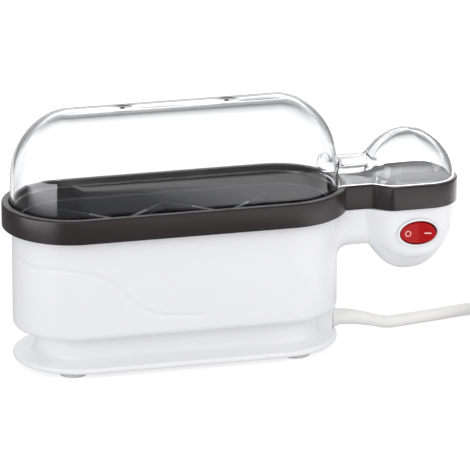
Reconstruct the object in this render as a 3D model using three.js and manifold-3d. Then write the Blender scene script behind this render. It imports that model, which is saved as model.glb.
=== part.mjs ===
// Electric egg cooker with a long steamer body, a clear lid and a side pod that holds the switch.
// Millimetres. X runs along the body towards the pod, Y to the back and Z up from the table.
import * as THREE from "three";
import { mergeVertices } from "three/addons/utils/BufferGeometryUtils.js";
import Module from "manifold-3d";

const wasm = await Module();
wasm.setup();

// Clearances and counts
const GAP = 0.3; // between pieces that touch
const OVERRUN = 1; // how far a cut runs past the face that it opens
const SAME_POINT = 0.0001; // points closer than this are one
const END_STEPS = 16; // steps round each end arc
const CORNER_STEPS = 4; // steps round a small corner
const ROUND_SIDES = 24; // sides of a round piece that shows
const SMALL_SIDES = 10; // sides of a small round piece

// Feet and base moulding
const END_CENTRE = 59; // half distance between the end arcs, where the outer eggs stand
const FOOT_HEIGHT = 3;
const FOOT_RADIUS = 8;
const FOOT_STEM_RADIUS = 2.5;
const FOOT_STEM_HEIGHT = 1.8;
const FOOT_PAST_END_CENTRE = 5;
const FOOT_Y = 23;
const PLATE_REACH = 33.5; // from the end arcs' centre to the end of the plate
const PLATE_RADIUS = 36.6;
const PLATE_THICKNESS = 3.2;
const PLATE_EDGE = 1;
const WAIST_HEIGHT = 14.9;
const WAIST_RADIUS = 21.5;
const WAIST_WALL = 2;
const POST_X = 40;
const POST_Y = 12;
const POST_RADIUS = 4;
const SCREW_RADIUS = 1.5;
const SCREW_HEAD_RADIUS = 3;
const SCREW_HEAD_HEIGHT = 1.6;
const SCREW_BITE = 6; // thread length inside a boss

// White body with its neck and pod bulb
const BODY_HEIGHT = 59.5;
const BODY_RADIUS = 33.5;
const BODY_WALL = 2;
const BODY_EDGE = 3.5;
const BODY_EDGE_STEPS = 3;
const BOSS_HEIGHT = 7;
const NECK_DEPTH = 22.9;
const NECK_CORNER = 9;
const NECK_ROOT = 21; // how far past the end arcs' centre the neck starts
const BULB_HALF_LENGTH = 27;
const BULB_DEPTH = 41;
const BULB_RINGS = 9;
const PAD_RADIUS = 14;
const PAD_SETBACK = 2.4; // front face of the flat round pad behind the pod deck's side
const PAD_THICKNESS = 2.6;
const GROOVE_RADIUS = 0.7;
const WAVE_FROM_END = 4.5; // between the body's left end and the line's start
const WAVE_END_X = 12;
const WAVE_HIGH = 42.1; // above the body's bottom
const WAVE_LOW = 10.1;
const WAVE_STEPS = 24;
const WAVE_STEEPNESS = 3;
const WAVE_MIDDLE_SHARE = 0.51;
const CORD_HOLE_X = 47;
const CORD_HOLE_LENGTH = 26;
const CORD_HOLE_WIDTH = 11;

// Dark rim frame with neck and pod deck
const RIM_OVERLAP = 1; // how far the rim hangs over the body's top
const RIM_HEIGHT = 13.7;
const RIM_OVERHANG = 5.5; // past the body's side
const RIM_BORDER = 4; // width of the flat top beside the lid
const RIM_SKIRT = 2;
const RIM_BEVEL = 0.8;
const RIM_LEG_WALL = 1.6;
const RIM_LEDGE_WIDTH = 2.2;
const RIM_LEDGE_DROP = 3.9;
const RIM_WEB = 1.8;
const DECK_THICKNESS = 2;
const RIM_NECK_HALF_WIDTH = 16;
const POD_REACH = 63.5; // from the rim's end arc to the end of the pod
const POD_LENGTH = 50.5; // from the start of the flare to the end of the pod
const POD_HALF_WIDTH = 24;
const POD_OVERHANG = 1; // of the deck past the white neck and bulb
const POD_CORNER = 19;
const POD_CORNER_STEPS = 6;
const FLARE_RADIUS = 5;

// Seal, pan, heating element and its controls
const SEAL_THICKNESS = 0.8;
const SEAL_INSET = 0.2;
const PAN_FLANGE_OVERHANG = 0.5;
const PAN_FLANGE_THICKNESS = 1;
const PAN_CLEARANCE = 0.6; // to the inside of the body
const PAN_WALL = 1;
const PAN_DEPTH = 9.6;
const PAN_FLOOR = 2;
const PAN_FILLET = 1.8;
const STUD_X = 24;
const STUD_RADIUS = 1.8;
const STUD_LENGTH = 12;
const ELEMENT_RADIUS = 3.2;
const ELEMENT_HALF_SPACING = 14;
const ELEMENT_LOOP_INSET = 15; // loop's centre from the end arcs' centre
const ELEMENT_LEG_INSET = 5; // leg ends from the end arcs' centre
const PIN_RADIUS = 1.2;
const PIN_LENGTH = 9;
const CLAMP_HALF_LENGTH = 30;
const CLAMP_THICKNESS = 1.5;
const NUT_RADIUS = 3.8;
const NUT_SIDES = 6;
const NUT_HEIGHT = 2.8;
const NUT_CLEARANCE = 0.35;
const THERMOSTAT_RADIUS = 8.4;
const THERMOSTAT_TAB_REACH = 5;
const THERMOSTAT_TAB_WIDTH = 4.8;
const THERMOSTAT_TAB_THICKNESS = 0.8;
const FUSE_RADIUS = 2;
const FUSE_LENGTH = 12;
const EARTH_TAB_FROM_CLAMP = 12;
const EARTH_TAB_LENGTH = 9;
const EARTH_TAB_WIDTH = 6.3;
const EARTH_TAB_THICKNESS = 0.8;
const EARTH_TAB_DROP = 8;

// Egg carrier
const CARRIER_CLEARANCE = 0.5; // to the pan and to the rim's ledge
const CARRIER_FLANGE_THICKNESS = 1;
const CARRIER_WALL = 1.2;
const CARRIER_DEPTH = 7.7;
const RIB_WIDTH = 2.2;
const RIB_HEIGHT = 3.8;
const RIB_ANGLE_DEG = 43;

// Clear lid
const LID_CLEARANCE = 0.5; // to the rim's mouth
const LID_WALL = 2;
const LID_DRAFT = 0.5;
const LID_SKIRT_HEIGHT = 16.7;
const LID_ARC_RADIUS = 41;
const LID_TOP_HALF_WIDTH = 7;
const LID_ARC_STEPS = 9;
const BRIDGE_INSET = 1.5; // from the rim's neck deck
const BRIDGE_HEIGHT = 10.8;
const BRIDGE_CORNER = 6;
const BRIDGE_ROOT = 23; // how far past the end arcs' centre the bridge starts
const BRIDGE_OVERLAP = 12; // how near to the small dome's centre the bridge ends
const SMALL_DOME_REACH = 27.5; // from the small dome's centre to the end of the pod
const SMALL_DOME_INSET = 1.8;
const SMALL_DOME_HEIGHT = 27;
const SMALL_DOME_POWER = 1.8;
const SMALL_DOME_RINGS = 9;
const SMALL_DOME_CAP_SHARE = 0.985; // where the last ring lies, as a share of the height
const VENT_X = 29.7;
const VENT_RADIUS = 2.5;
const VENT_RECESS_RADIUS = 5.6;
const VENT_RECESS_DEPTH = 1;
const VENT_COLLAR_DEPTH = 1.6;

// Rocker switch on the pod
const SWITCH_FROM_END = 26.7; // switch's middle from the end of the pod
const SWITCH_DROP = 13.9; // switch's middle below the top of the white pod
const BEZEL_WIDTH = 1.8;
const BEZEL_THICKNESS = 1.2;
const SWITCH_OPENING_HALF_LENGTH = 10.8;
const SWITCH_OPENING_HALF_HEIGHT = 6.9;
const SWITCH_TUBE_WALL = 0.9;
const SWITCH_TUBE_DEPTH = 15;
const SWITCH_BACK_WALL = 1.2;
const ROCKER_CLEARANCE = 0.7;
const ROCKER_TILT_DEG = 8;
const ROCKER_PROUD = 0.2; // height of the rocker's middle line in front of the bezel
const ROCKER_DEPTH = 4;
const ROCKER_PIVOT_BEHIND = 2.6; // pivot line behind the bezel's front face
const ROCKER_BORE_RADIUS = 1;
const ROCKER_STEM_WIDTH = 2;
const ROCKER_STEM_DEPTH = 2.4;
const LEVER_HALF_LENGTH = 6.8;
const LEVER_THICKNESS = 0.8;
const LEVER_WIDTH = 4;
const LEVER_TILT_DEG = 8;
const BLADE_WIDTH = 4.8;
const BLADE_THICKNESS = 0.8;
const BLADE_TAIL = 7.8; // length outside the switch
const BLADE_SPACING = 6;
const LAMP_RADIUS = 1.3;
const LAMP_LENGTH = 5.4;
const LAMP_Z = 3.9;

// Mains connection inside the body
const BLOCK_X = 12;
const BLOCK_LENGTH = 16;
const BLOCK_WIDTH = 26;
const BLOCK_HEIGHT = 12;
const BLOCK_SCREW_RADIUS = 2;
const BLOCK_SCREW_DEPTH = 4;
const BLOCK_POLE_PITCH = 8;
const CORD_CLAMP_X = 70;
const CORD_CLAMP_LENGTH = 7;
const CORD_CLAMP_HALF_SPAN = 12;
const CORD_CLAMP_THICKNESS = 2.4;
const CLAMP_SCREW_Y = 8.4;
const CLAMP_SCREW_HEAD_RADIUS = 2.7;
const CLAMP_BOSS_RADIUS = 2.9;
const WIRE_RADIUS = 1.1;
const WIRE_SIDES = 6;
const WIRE_STEPS_PER_POINT = 3;
const WIRE_FROM_WALL = 6.5; // of the wires that run along the body's sides

// Cord, gland, coil, tie and plug
const CORD_RADIUS = 3.5;
const CORD_SIDES = 8;
const CORD_STEPS_PER_POINT = 2;
const CORD_EXIT_Z = 12;
const OUTLET_WALL = 1.6;
const OUTLET_REACH = 9.5; // of the cord outlet past the waist
const GLAND_WALL = 0.9;
const GLAND_COLLAR_RISE = 1;
const GLAND_COLLAR_LENGTH = 4;
const COIL_MEAN_RADIUS = 38.5;
const COIL_LAYER_TURNS = 1.25;
const COIL_LOOSENESS = 0.8; // between neighbouring turns
const COIL_STEPS_PER_TURN = 24;
const COIL_SIDES = 6;
const COIL_CLIMB_TURN = 0.5;
const COIL_LEAVE_DEG = 15; // before full turns, where the cord leaves the coil
const COIL_PLUG_CLEARANCE = 1.5;
const TAIL_BEND_RADIUS = 28; // of the cord's turn towards the plug
const TAIL_BEND_STEPS = 8;
const TAIL_RUN_STEPS = 5;
const TIE_WIDTH = 5;
const TIE_THICKNESS = 0.7;
const TIE_CORNER = 3;
const PLUG_BODY_LENGTH = 28;
const PLUG_BODY_WIDTH = 34;
const PLUG_BODY_HEIGHT = 25;
const PLUG_NECK_LENGTH = 22;
const PLUG_NECK_WALL = 1.1;
const PLUG_CORNER = 8;
const PLUG_PIN_RADIUS = 2.4;
const PLUG_PIN_LENGTH = 19;
const PLUG_PIN_SPACING = 19;

// Levels that follow from the sizes above, from the table up
const PLATE_BOTTOM = FOOT_HEIGHT + GAP;
const PLATE_TOP = PLATE_BOTTOM + PLATE_THICKNESS;
const BODY_BOTTOM = PLATE_TOP + WAIST_HEIGHT + GAP;
const BODY_FLOOR_TOP = BODY_BOTTOM + BODY_WALL;
const BODY_TOP = BODY_BOTTOM + BODY_HEIGHT;
const RIM_BOTTOM = BODY_TOP - RIM_OVERLAP;
const RIM_TOP = RIM_BOTTOM + RIM_HEIGHT;
const RIM_LEDGE_Z = RIM_TOP - RIM_LEDGE_DROP;
const POD_BODY_TOP = RIM_BOTTOM - GAP;
const NECK_BOTTOM = POD_BODY_TOP - NECK_DEPTH;
const SEAL_BOTTOM = BODY_TOP + GAP;
const SEAL_TOP = SEAL_BOTTOM + SEAL_THICKNESS;
const PAN_FLANGE_BOTTOM = SEAL_TOP + GAP;
const PAN_TOP = PAN_FLANGE_BOTTOM + PAN_FLANGE_THICKNESS;
const PAN_FLOOR_TOP = PAN_TOP - PAN_DEPTH;
const PAN_UNDERSIDE = PAN_FLOOR_TOP - PAN_FLOOR;
const CARRIER_FLANGE_BOTTOM = PAN_TOP + GAP;
const CARRIER_TOP = CARRIER_FLANGE_BOTTOM + CARRIER_FLANGE_THICKNESS;
const CARRIER_BOTTOM = CARRIER_FLANGE_BOTTOM - CARRIER_DEPTH;
const RIB_TOP = CARRIER_BOTTOM + RIB_HEIGHT;
const LID_BOTTOM = RIM_LEDGE_Z + GAP;
const LID_DECK_Z = RIM_TOP + GAP;
const LID_SHOULDER_Z = LID_BOTTOM + LID_SKIRT_HEIGHT;
const BRIDGE_TOP = LID_DECK_Z + BRIDGE_HEIGHT;
const ELEMENT_Z = PAN_UNDERSIDE - GAP - ELEMENT_RADIUS;
const CLAMP_TOP = ELEMENT_Z - ELEMENT_RADIUS - GAP;
const CLAMP_BOTTOM = CLAMP_TOP - CLAMP_THICKNESS;
const SWITCH_Z = POD_BODY_TOP - SWITCH_DROP;
const BLOCK_BOTTOM = BODY_FLOOR_TOP + GAP;
const BLOCK_TOP = BLOCK_BOTTOM + BLOCK_HEIGHT;

// Radii and half widths that follow, from the body outwards and inwards
const WAVE_START_X = WAVE_FROM_END - END_CENTRE - BODY_RADIUS;
const RIM_RADIUS = BODY_RADIUS + RIM_OVERHANG;
const RIM_MOUTH_RADIUS = RIM_RADIUS - RIM_BORDER;
const RIM_LEDGE_RADIUS = RIM_MOUTH_RADIUS - RIM_LEDGE_WIDTH;
const LID_RADIUS = RIM_MOUTH_RADIUS - LID_CLEARANCE;
const LID_SHOULDER_RADIUS = LID_RADIUS - LID_DRAFT;
const PAN_FLANGE_RADIUS = BODY_RADIUS + PAN_FLANGE_OVERHANG;
const PAN_RADIUS = BODY_RADIUS - BODY_WALL - PAN_CLEARANCE - PAN_WALL;
const CARRIER_FLANGE_RADIUS = RIM_LEDGE_RADIUS - CARRIER_CLEARANCE;
const CARRIER_RADIUS = PAN_RADIUS - CARRIER_CLEARANCE;
const CLAMP_HALF_WIDTH = ELEMENT_HALF_SPACING + ELEMENT_RADIUS + GAP;
const NECK_HALF_WIDTH = RIM_NECK_HALF_WIDTH - POD_OVERHANG;
const BRIDGE_HALF_WIDTH = RIM_NECK_HALF_WIDTH - BRIDGE_INSET;
const BULB_HALF_WIDTH = POD_HALF_WIDTH - POD_OVERHANG;
const BULB_CORNER = POD_CORNER - POD_OVERHANG;
const BEZEL_HALF_LENGTH = SWITCH_OPENING_HALF_LENGTH + BEZEL_WIDTH;
const BEZEL_HALF_HEIGHT = SWITCH_OPENING_HALF_HEIGHT + BEZEL_WIDTH;
const GLAND_BARREL_RADIUS = CORD_RADIUS + GLAND_WALL;
const GLAND_COLLAR_RADIUS = GLAND_BARREL_RADIUS + GLAND_COLLAR_RISE;
const GLAND_TIP_RADIUS = CORD_RADIUS + GAP;
const OUTLET_HALF_WIDTH = GLAND_BARREL_RADIUS + OUTLET_WALL;
const COIL_TURN_PITCH = 2 * CORD_RADIUS + COIL_LOOSENESS;
const PLUG_NECK_RADIUS = CORD_RADIUS + PLUG_NECK_WALL;

// Places that follow along the body and through the switch
const FOOT_X = END_CENTRE + FOOT_PAST_END_CENTRE;
const NECK_ROOT_X = END_CENTRE + NECK_ROOT;
const OUTLET_END_X = END_CENTRE + WAIST_RADIUS + OUTLET_REACH;
const GLAND_COLLAR_END_X = OUTLET_END_X + GLAND_COLLAR_LENGTH;
const ELEMENT_LEG_START = ELEMENT_LOOP_INSET - END_CENTRE;
const ELEMENT_LEG_END = END_CENTRE - ELEMENT_LEG_INSET;
const FUSE_X = -CLAMP_HALF_LENGTH - FUSE_RADIUS;
const EARTH_TAB_X = CLAMP_HALF_LENGTH + EARTH_TAB_FROM_CLAMP;
const POD_END = END_CENTRE + RIM_RADIUS + POD_REACH;
const FLARE_START_X = POD_END - POD_LENGTH;
const BULB_CENTRE_X = POD_END - POD_OVERHANG - BULB_HALF_LENGTH;
const SMALL_DOME_X = POD_END - SMALL_DOME_REACH;
const BRIDGE_START_X = END_CENTRE + BRIDGE_ROOT;
const BRIDGE_END_X = SMALL_DOME_X - BRIDGE_OVERLAP;
const SWITCH_X = POD_END - SWITCH_FROM_END;
const PAD_Y = POD_HALF_WIDTH - PAD_SETBACK;
const BEZEL_FRONT = -(PAD_Y + GAP + BEZEL_THICKNESS);
const ROCKER_PIVOT_Y = BEZEL_FRONT + ROCKER_PIVOT_BEHIND;
const STEM_TIP = ROCKER_DEPTH - ROCKER_PIVOT_BEHIND - ROCKER_PROUD + ROCKER_STEM_DEPTH;
const LEVER_PIVOT_Y = ROCKER_PIVOT_Y + STEM_TIP + 2 * GAP + LEVER_THICKNESS / 2;
const SWITCH_BACK_Y = BEZEL_FRONT + SWITCH_TUBE_DEPTH;
const WIRE_SIDE_Y = BODY_RADIUS - BODY_WALL - WIRE_FROM_WALL;
const ORIGIN_X = (POD_END - END_CENTRE - RIM_RADIUS) / 2;
const QUARTER = Math.PI / 2;
const radians = THREE.MathUtils.degToRad;

// Finishes
const finish = (color, roughness, metalness = 0) =>
  new THREE.MeshStandardMaterial({ color, roughness, metalness });
const whitePlastic = finish(0xf2f2f4, 0.35);
const darkPlastic = finish(0x37302f, 0.4);
const clearPlastic = finish(0xe8eef0, 0.05);
clearPlastic.transparent = true;
clearPlastic.opacity = 0.3;
const redPlastic = finish(0xb3202a, 0.3);
const coatedPan = finish(0x2c2c2e, 0.35, 0.4);
const greyRubber = finish(0xd8d8d4, 0.8);
const siliconeRed = finish(0xa04038, 0.7);
const carrierPlastic = finish(0x3a3a3d, 0.4);
const steel = finish(0xb8babd, 0.3, 1);
const brass = finish(0xc9a44c, 0.3, 1);
const ceramic = finish(0xe9e4d8, 0.6);
const lampGlass = finish(0xf0a060, 0.1);
const blackPlastic = finish(0x202022, 0.5);
const cordSkin = finish(0xdcdad4, 0.55);
const tieSkin = finish(0xf4f4f2, 0.5);
const wireBrown = finish(0x6b3a1e, 0.5);
const wireBlue = finish(0x2a5fae, 0.5);
const wireWhite = finish(0xdcd8d0, 0.6);
const wireGreen = finish(0x7fa23a, 0.5);

// Solids from geometries, and meshes from solids

function solid(geometry) {
  const bare = geometry.clone();
  bare.deleteAttribute("normal");
  bare.deleteAttribute("uv");
  const merged = mergeVertices(bare, SAME_POINT);
  return new wasm.Manifold(
    new wasm.Mesh({
      numProp: 3,
      vertProperties: merged.attributes.position.array,
      triVerts: new Uint32Array(merged.index.array),
    }),
  );
}

function join(...solids) {
  return solids.reduce((whole, part) => whole.add(part));
}

function cut(whole, ...tools) {
  return tools.reduce((rest, tool) => rest.subtract(tool), whole);
}

function mesh(name, material, body) {
  const { vertProperties, triVerts } = body.getMesh();
  const geometry = new THREE.BufferGeometry();
  geometry.setAttribute("position", new THREE.BufferAttribute(vertProperties, 3));
  geometry.setIndex(new THREE.BufferAttribute(triVerts, 1));
  geometry.computeVertexNormals();
  const piece = new THREE.Mesh(geometry, material);
  piece.name = name;
  return piece;
}

// A skin through rings of equally many points, capped at both ends or closed on itself
function loft(rings, closed = false) {
  const count = rings[0].length;
  const corners = [];
  const spans = closed ? rings.length : rings.length - 1;
  for (let i = 0; i < spans; i += 1) {
    const low = i * count;
    const high = ((i + 1) % rings.length) * count;
    for (let j = 0; j < count; j += 1) {
      const next = (j + 1) % count;
      corners.push(low + j, low + next, high + next);
      corners.push(low + j, high + next, high + j);
    }
  }
  if (!closed) {
    const last = (rings.length - 1) * count;
    for (let j = 1; j < count - 1; j += 1) {
      corners.push(0, j + 1, j);
      corners.push(last, last + j, last + j + 1);
    }
  }
  const geometry = new THREE.BufferGeometry().setFromPoints(rings.flat());
  geometry.setIndex(corners);
  return solid(geometry);
}

// An outline of two half circles joined by straight sides
function stadium(radius, z, centre = END_CENTRE) {
  const ring = [];
  for (const side of [1, -1]) {
    for (let i = 0; i <= END_STEPS; i += 1) {
      const angle = (Math.PI * i) / END_STEPS - side * QUARTER;
      ring.push(
        new THREE.Vector3(side * centre + radius * Math.cos(angle), radius * Math.sin(angle), z),
      );
    }
  }
  return ring;
}

function stadiumSolid(profile, centre = END_CENTRE) {
  return loft(profile.map(([radius, z]) => stadium(radius, z, centre)));
}

function stadiumRing(profile, centre = END_CENTRE) {
  return loft(
    profile.map(([radius, z]) => stadium(radius, z, centre)),
    true,
  );
}

// Points of an outline whose corners [x, y, radius] are rounded
function roundedOutline(corners, steps = CORNER_STEPS) {
  const points = [];
  corners.forEach(([x, y, radius], i) => {
    const corner = new THREE.Vector2(x, y);
    const before = corners.at(i - 1);
    const after = corners[(i + 1) % corners.length];
    const incoming = corner.clone().sub(new THREE.Vector2(before[0], before[1])).normalize();
    const outgoing = new THREE.Vector2(after[0], after[1]).sub(corner).normalize();
    const turn = Math.atan2(incoming.cross(outgoing), incoming.dot(outgoing));
    if (radius === 0 || Math.abs(turn) < SAME_POINT) {
      points.push(corner);
      return;
    }
    const side = Math.sign(turn);
    const start = corner.clone().addScaledVector(incoming, -radius * Math.tan(Math.abs(turn) / 2));
    const inward = new THREE.Vector2(-incoming.y, incoming.x).multiplyScalar(side * radius);
    const centre = start.clone().add(inward);
    for (let k = 0; k <= steps; k += 1) {
      points.push(start.clone().rotateAround(centre, (turn * k) / steps));
    }
  });
  return points;
}

// A rounded rectangle about the origin
function cornered(halfLength, halfWidth, radius, steps = CORNER_STEPS) {
  return roundedOutline(
    [
      [-halfLength, -halfWidth, radius],
      [halfLength, -halfWidth, radius],
      [halfLength, halfWidth, radius],
      [-halfLength, halfWidth, radius],
    ],
    steps,
  );
}

function prism(outline, low, high) {
  const shape = new THREE.Shape(outline);
  const geometry = new THREE.ExtrudeGeometry(shape, { depth: high - low, bevelEnabled: false });
  return solid(geometry.translate(0, 0, low));
}

// A prism whose outline lies across X: outline x becomes Y and outline y becomes Z
function prismAlongX(outline, low, high) {
  const shape = new THREE.Shape(outline);
  const geometry = new THREE.ExtrudeGeometry(shape, { depth: high - low, bevelEnabled: false });
  geometry.applyMatrix4(
    new THREE.Matrix4().makeBasis(
      new THREE.Vector3(0, 1, 0),
      new THREE.Vector3(0, 0, 1),
      new THREE.Vector3(1, 0, 0),
    ),
  );
  return solid(geometry.translate(low, 0, 0));
}

function rod(radius, low, high, x = 0, y = 0, sides = SMALL_SIDES) {
  const geometry = new THREE.CylinderGeometry(radius, radius, high - low, sides);
  return solid(geometry.rotateX(QUARTER).translate(x, y, (low + high) / 2));
}

function rodAlongX(radius, start, end, y, z, sides = SMALL_SIDES) {
  const geometry = new THREE.CylinderGeometry(radius, radius, end - start, sides);
  return solid(geometry.rotateZ(-QUARTER).translate((start + end) / 2, y, z));
}

function rodAlongY(radius, start, end, x, z, sides = SMALL_SIDES) {
  const geometry = new THREE.CylinderGeometry(radius, radius, end - start, sides);
  return solid(geometry.translate(x, (start + end) / 2, z));
}

function block(x0, x1, y0, y1, z0, z1) {
  const geometry = new THREE.BoxGeometry(x1 - x0, y1 - y0, z1 - z0);
  return solid(geometry.translate((x0 + x1) / 2, (y0 + y1) / 2, (z0 + z1) / 2));
}

// An elliptical bar along Y about the switch's middle
function ovalAlongY(halfLength, halfHeight, start, end) {
  const geometry = new THREE.CylinderGeometry(1, 1, end - start, ROUND_SIDES);
  geometry.scale(halfLength, 1, halfHeight);
  return solid(geometry.translate(SWITCH_X, (start + end) / 2, SWITCH_Z));
}

function circleShape(radius, sides) {
  const points = [];
  for (let i = 0; i < sides; i += 1) {
    const angle = (2 * Math.PI * (i + 1 / 2)) / sides;
    points.push(new THREE.Vector2(radius * Math.cos(angle), radius * Math.sin(angle)));
  }
  return new THREE.Shape(points);
}

function tube(curve, radius, sides, steps) {
  const geometry = new THREE.ExtrudeGeometry(circleShape(radius, sides), {
    steps,
    bevelEnabled: false,
    extrudePath: curve,
  });
  return solid(geometry);
}

function curveThrough(points) {
  const places = points.map(([x, y, z]) => new THREE.Vector3(x, y, z));
  return new THREE.CatmullRomCurve3(places, false, "centripetal");
}

// Feet, base moulding and its screws

function footPiece(name, x, y) {
  const disc = rod(FOOT_RADIUS, 0, FOOT_HEIGHT, x, y, ROUND_SIDES);
  const stem = rod(FOOT_STEM_RADIUS, 0, FOOT_HEIGHT + FOOT_STEM_HEIGHT, x, y);
  return mesh(name, greyRubber, join(disc, stem));
}

function waistOutline() {
  const low = PLATE_TOP - OVERRUN;
  const high = BODY_BOTTOM - GAP;
  const inner = WAIST_RADIUS - WAIST_WALL;
  return stadiumRing([
    [WAIST_RADIUS, low],
    [WAIST_RADIUS, high],
    [inner, high],
    [inner, low],
  ]);
}

function basePlate() {
  const centre = END_CENTRE + PLATE_REACH - PLATE_RADIUS;
  const plate = stadiumSolid(
    [
      [PLATE_RADIUS - PLATE_EDGE, PLATE_BOTTOM],
      [PLATE_RADIUS, PLATE_BOTTOM + PLATE_EDGE],
      [PLATE_RADIUS, PLATE_TOP - PLATE_EDGE],
      [PLATE_RADIUS - PLATE_EDGE, PLATE_TOP],
    ],
    centre,
  );
  const outlet = block(
    END_CENTRE + WAIST_RADIUS - WAIST_WALL,
    OUTLET_END_X,
    -OUTLET_HALF_WIDTH,
    OUTLET_HALF_WIDTH,
    PLATE_TOP - OVERRUN,
    BODY_BOTTOM - GAP,
  );
  const posts = screwPlaces().map(([x, y]) =>
    rod(POST_RADIUS, PLATE_TOP - OVERRUN, BODY_BOTTOM - GAP, x, y, ROUND_SIDES / 2),
  );
  const bosses = [1, -1].map((side) =>
    rod(
      CLAMP_BOSS_RADIUS,
      PLATE_TOP - OVERRUN,
      CORD_EXIT_Z + CORD_RADIUS,
      CORD_CLAMP_X,
      side * CLAMP_SCREW_Y,
    ),
  );
  const screwWays = screwPlaces().flatMap(([x, y]) => [
    rod(SCREW_RADIUS + GAP, PLATE_BOTTOM - OVERRUN, BODY_BOTTOM + OVERRUN, x, y),
    rod(
      SCREW_HEAD_RADIUS + GAP,
      PLATE_BOTTOM - OVERRUN,
      PLATE_BOTTOM + SCREW_HEAD_HEIGHT + GAP,
      x,
      y,
      ROUND_SIDES / 2,
    ),
  ]);
  const clampHoles = [1, -1].map((side) =>
    rod(
      SCREW_RADIUS + GAP,
      PLATE_TOP,
      CORD_EXIT_Z + CORD_RADIUS + OVERRUN,
      CORD_CLAMP_X,
      side * CLAMP_SCREW_Y,
    ),
  );
  const sockets = footPlaces().map(([, x, y]) =>
    rod(
      FOOT_STEM_RADIUS + GAP,
      PLATE_BOTTOM - OVERRUN,
      FOOT_HEIGHT + FOOT_STEM_HEIGHT + GAP,
      x,
      y,
    ),
  );
  const cordWay = rodAlongX(
    GLAND_BARREL_RADIUS + GAP,
    END_CENTRE + WAIST_RADIUS - WAIST_WALL - OVERRUN,
    OUTLET_END_X + OVERRUN,
    0,
    CORD_EXIT_Z,
    ROUND_SIDES / 2,
  );
  const whole = join(plate, waistOutline(), outlet, ...posts, ...bosses);
  return cut(whole, ...screwWays, ...clampHoles, ...sockets, cordWay);
}

function footPlaces() {
  return [
    ["foot_front_left", -FOOT_X, -FOOT_Y],
    ["foot_front_right", FOOT_X, -FOOT_Y],
    ["foot_rear_left", -FOOT_X, FOOT_Y],
    ["foot_rear_right", FOOT_X, FOOT_Y],
  ];
}

function screwPlaces() {
  return [
    [-POST_X, -POST_Y],
    [POST_X, -POST_Y],
    [-POST_X, POST_Y],
    [POST_X, POST_Y],
  ];
}

function baseScrew(x, y) {
  const head = rod(
    SCREW_HEAD_RADIUS,
    PLATE_BOTTOM,
    PLATE_BOTTOM + SCREW_HEAD_HEIGHT,
    x,
    y,
    SMALL_SIDES,
  );
  const shaft = rod(SCREW_RADIUS, PLATE_BOTTOM, BODY_BOTTOM + SCREW_BITE, x, y);
  return join(head, shaft);
}

// Body shell with neck, bulb and switch pad

// The bulb under the deck; an inset one also runs past the top, to cut it open
function bulb(inset, rise) {
  const rings = [];
  for (let i = BULB_RINGS; i >= 0; i -= 1) {
    const angle = (QUARTER * i) / (BULB_RINGS + 1 / 2);
    const scale = Math.cos(angle);
    const z = POD_BODY_TOP - (BULB_DEPTH - inset) * Math.sin(angle);
    rings.push(bulbRing(inset, scale, z));
  }
  if (rise > 0) rings.push(bulbRing(inset, 1, POD_BODY_TOP + rise));
  return loft(rings);
}

function bulbRing(inset, scale, z) {
  const outline = cornered(
    BULB_HALF_LENGTH - inset,
    BULB_HALF_WIDTH - inset,
    BULB_CORNER - inset,
    POD_CORNER_STEPS,
  );
  return outline.map(
    (point) => new THREE.Vector3(BULB_CENTRE_X + point.x * scale, point.y * scale, z),
  );
}

function neckBar(inset, high, start, end) {
  const half = NECK_HALF_WIDTH - inset;
  const low = NECK_BOTTOM + inset;
  const outline = roundedOutline([
    [-half, low, NECK_CORNER - inset],
    [half, low, NECK_CORNER - inset],
    [half, high, 0],
    [-half, high, 0],
  ]);
  return prismAlongX(outline, start, end);
}

// Height of the relief line on the front of the body at x
function waveHeight(x) {
  const share = (x - WAVE_START_X) / (WAVE_END_X - WAVE_START_X);
  const swing = Math.tanh(WAVE_STEEPNESS * 2 * (share - WAVE_MIDDLE_SHARE));
  return BODY_BOTTOM + (WAVE_HIGH + WAVE_LOW) / 2 - ((WAVE_HIGH - WAVE_LOW) / 2) * swing;
}

function waveGroove() {
  const points = [];
  for (let i = 0; i <= WAVE_STEPS; i += 1) {
    const x = WAVE_START_X + ((WAVE_END_X - WAVE_START_X) * i) / WAVE_STEPS;
    const past = Math.max(0, -END_CENTRE - x);
    const y = -Math.sqrt(BODY_RADIUS ** 2 - past ** 2);
    points.push([x, y, waveHeight(x)]);
  }
  return tube(curveThrough(points), GROOVE_RADIUS, CORD_SIDES, WAVE_STEPS);
}

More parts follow.
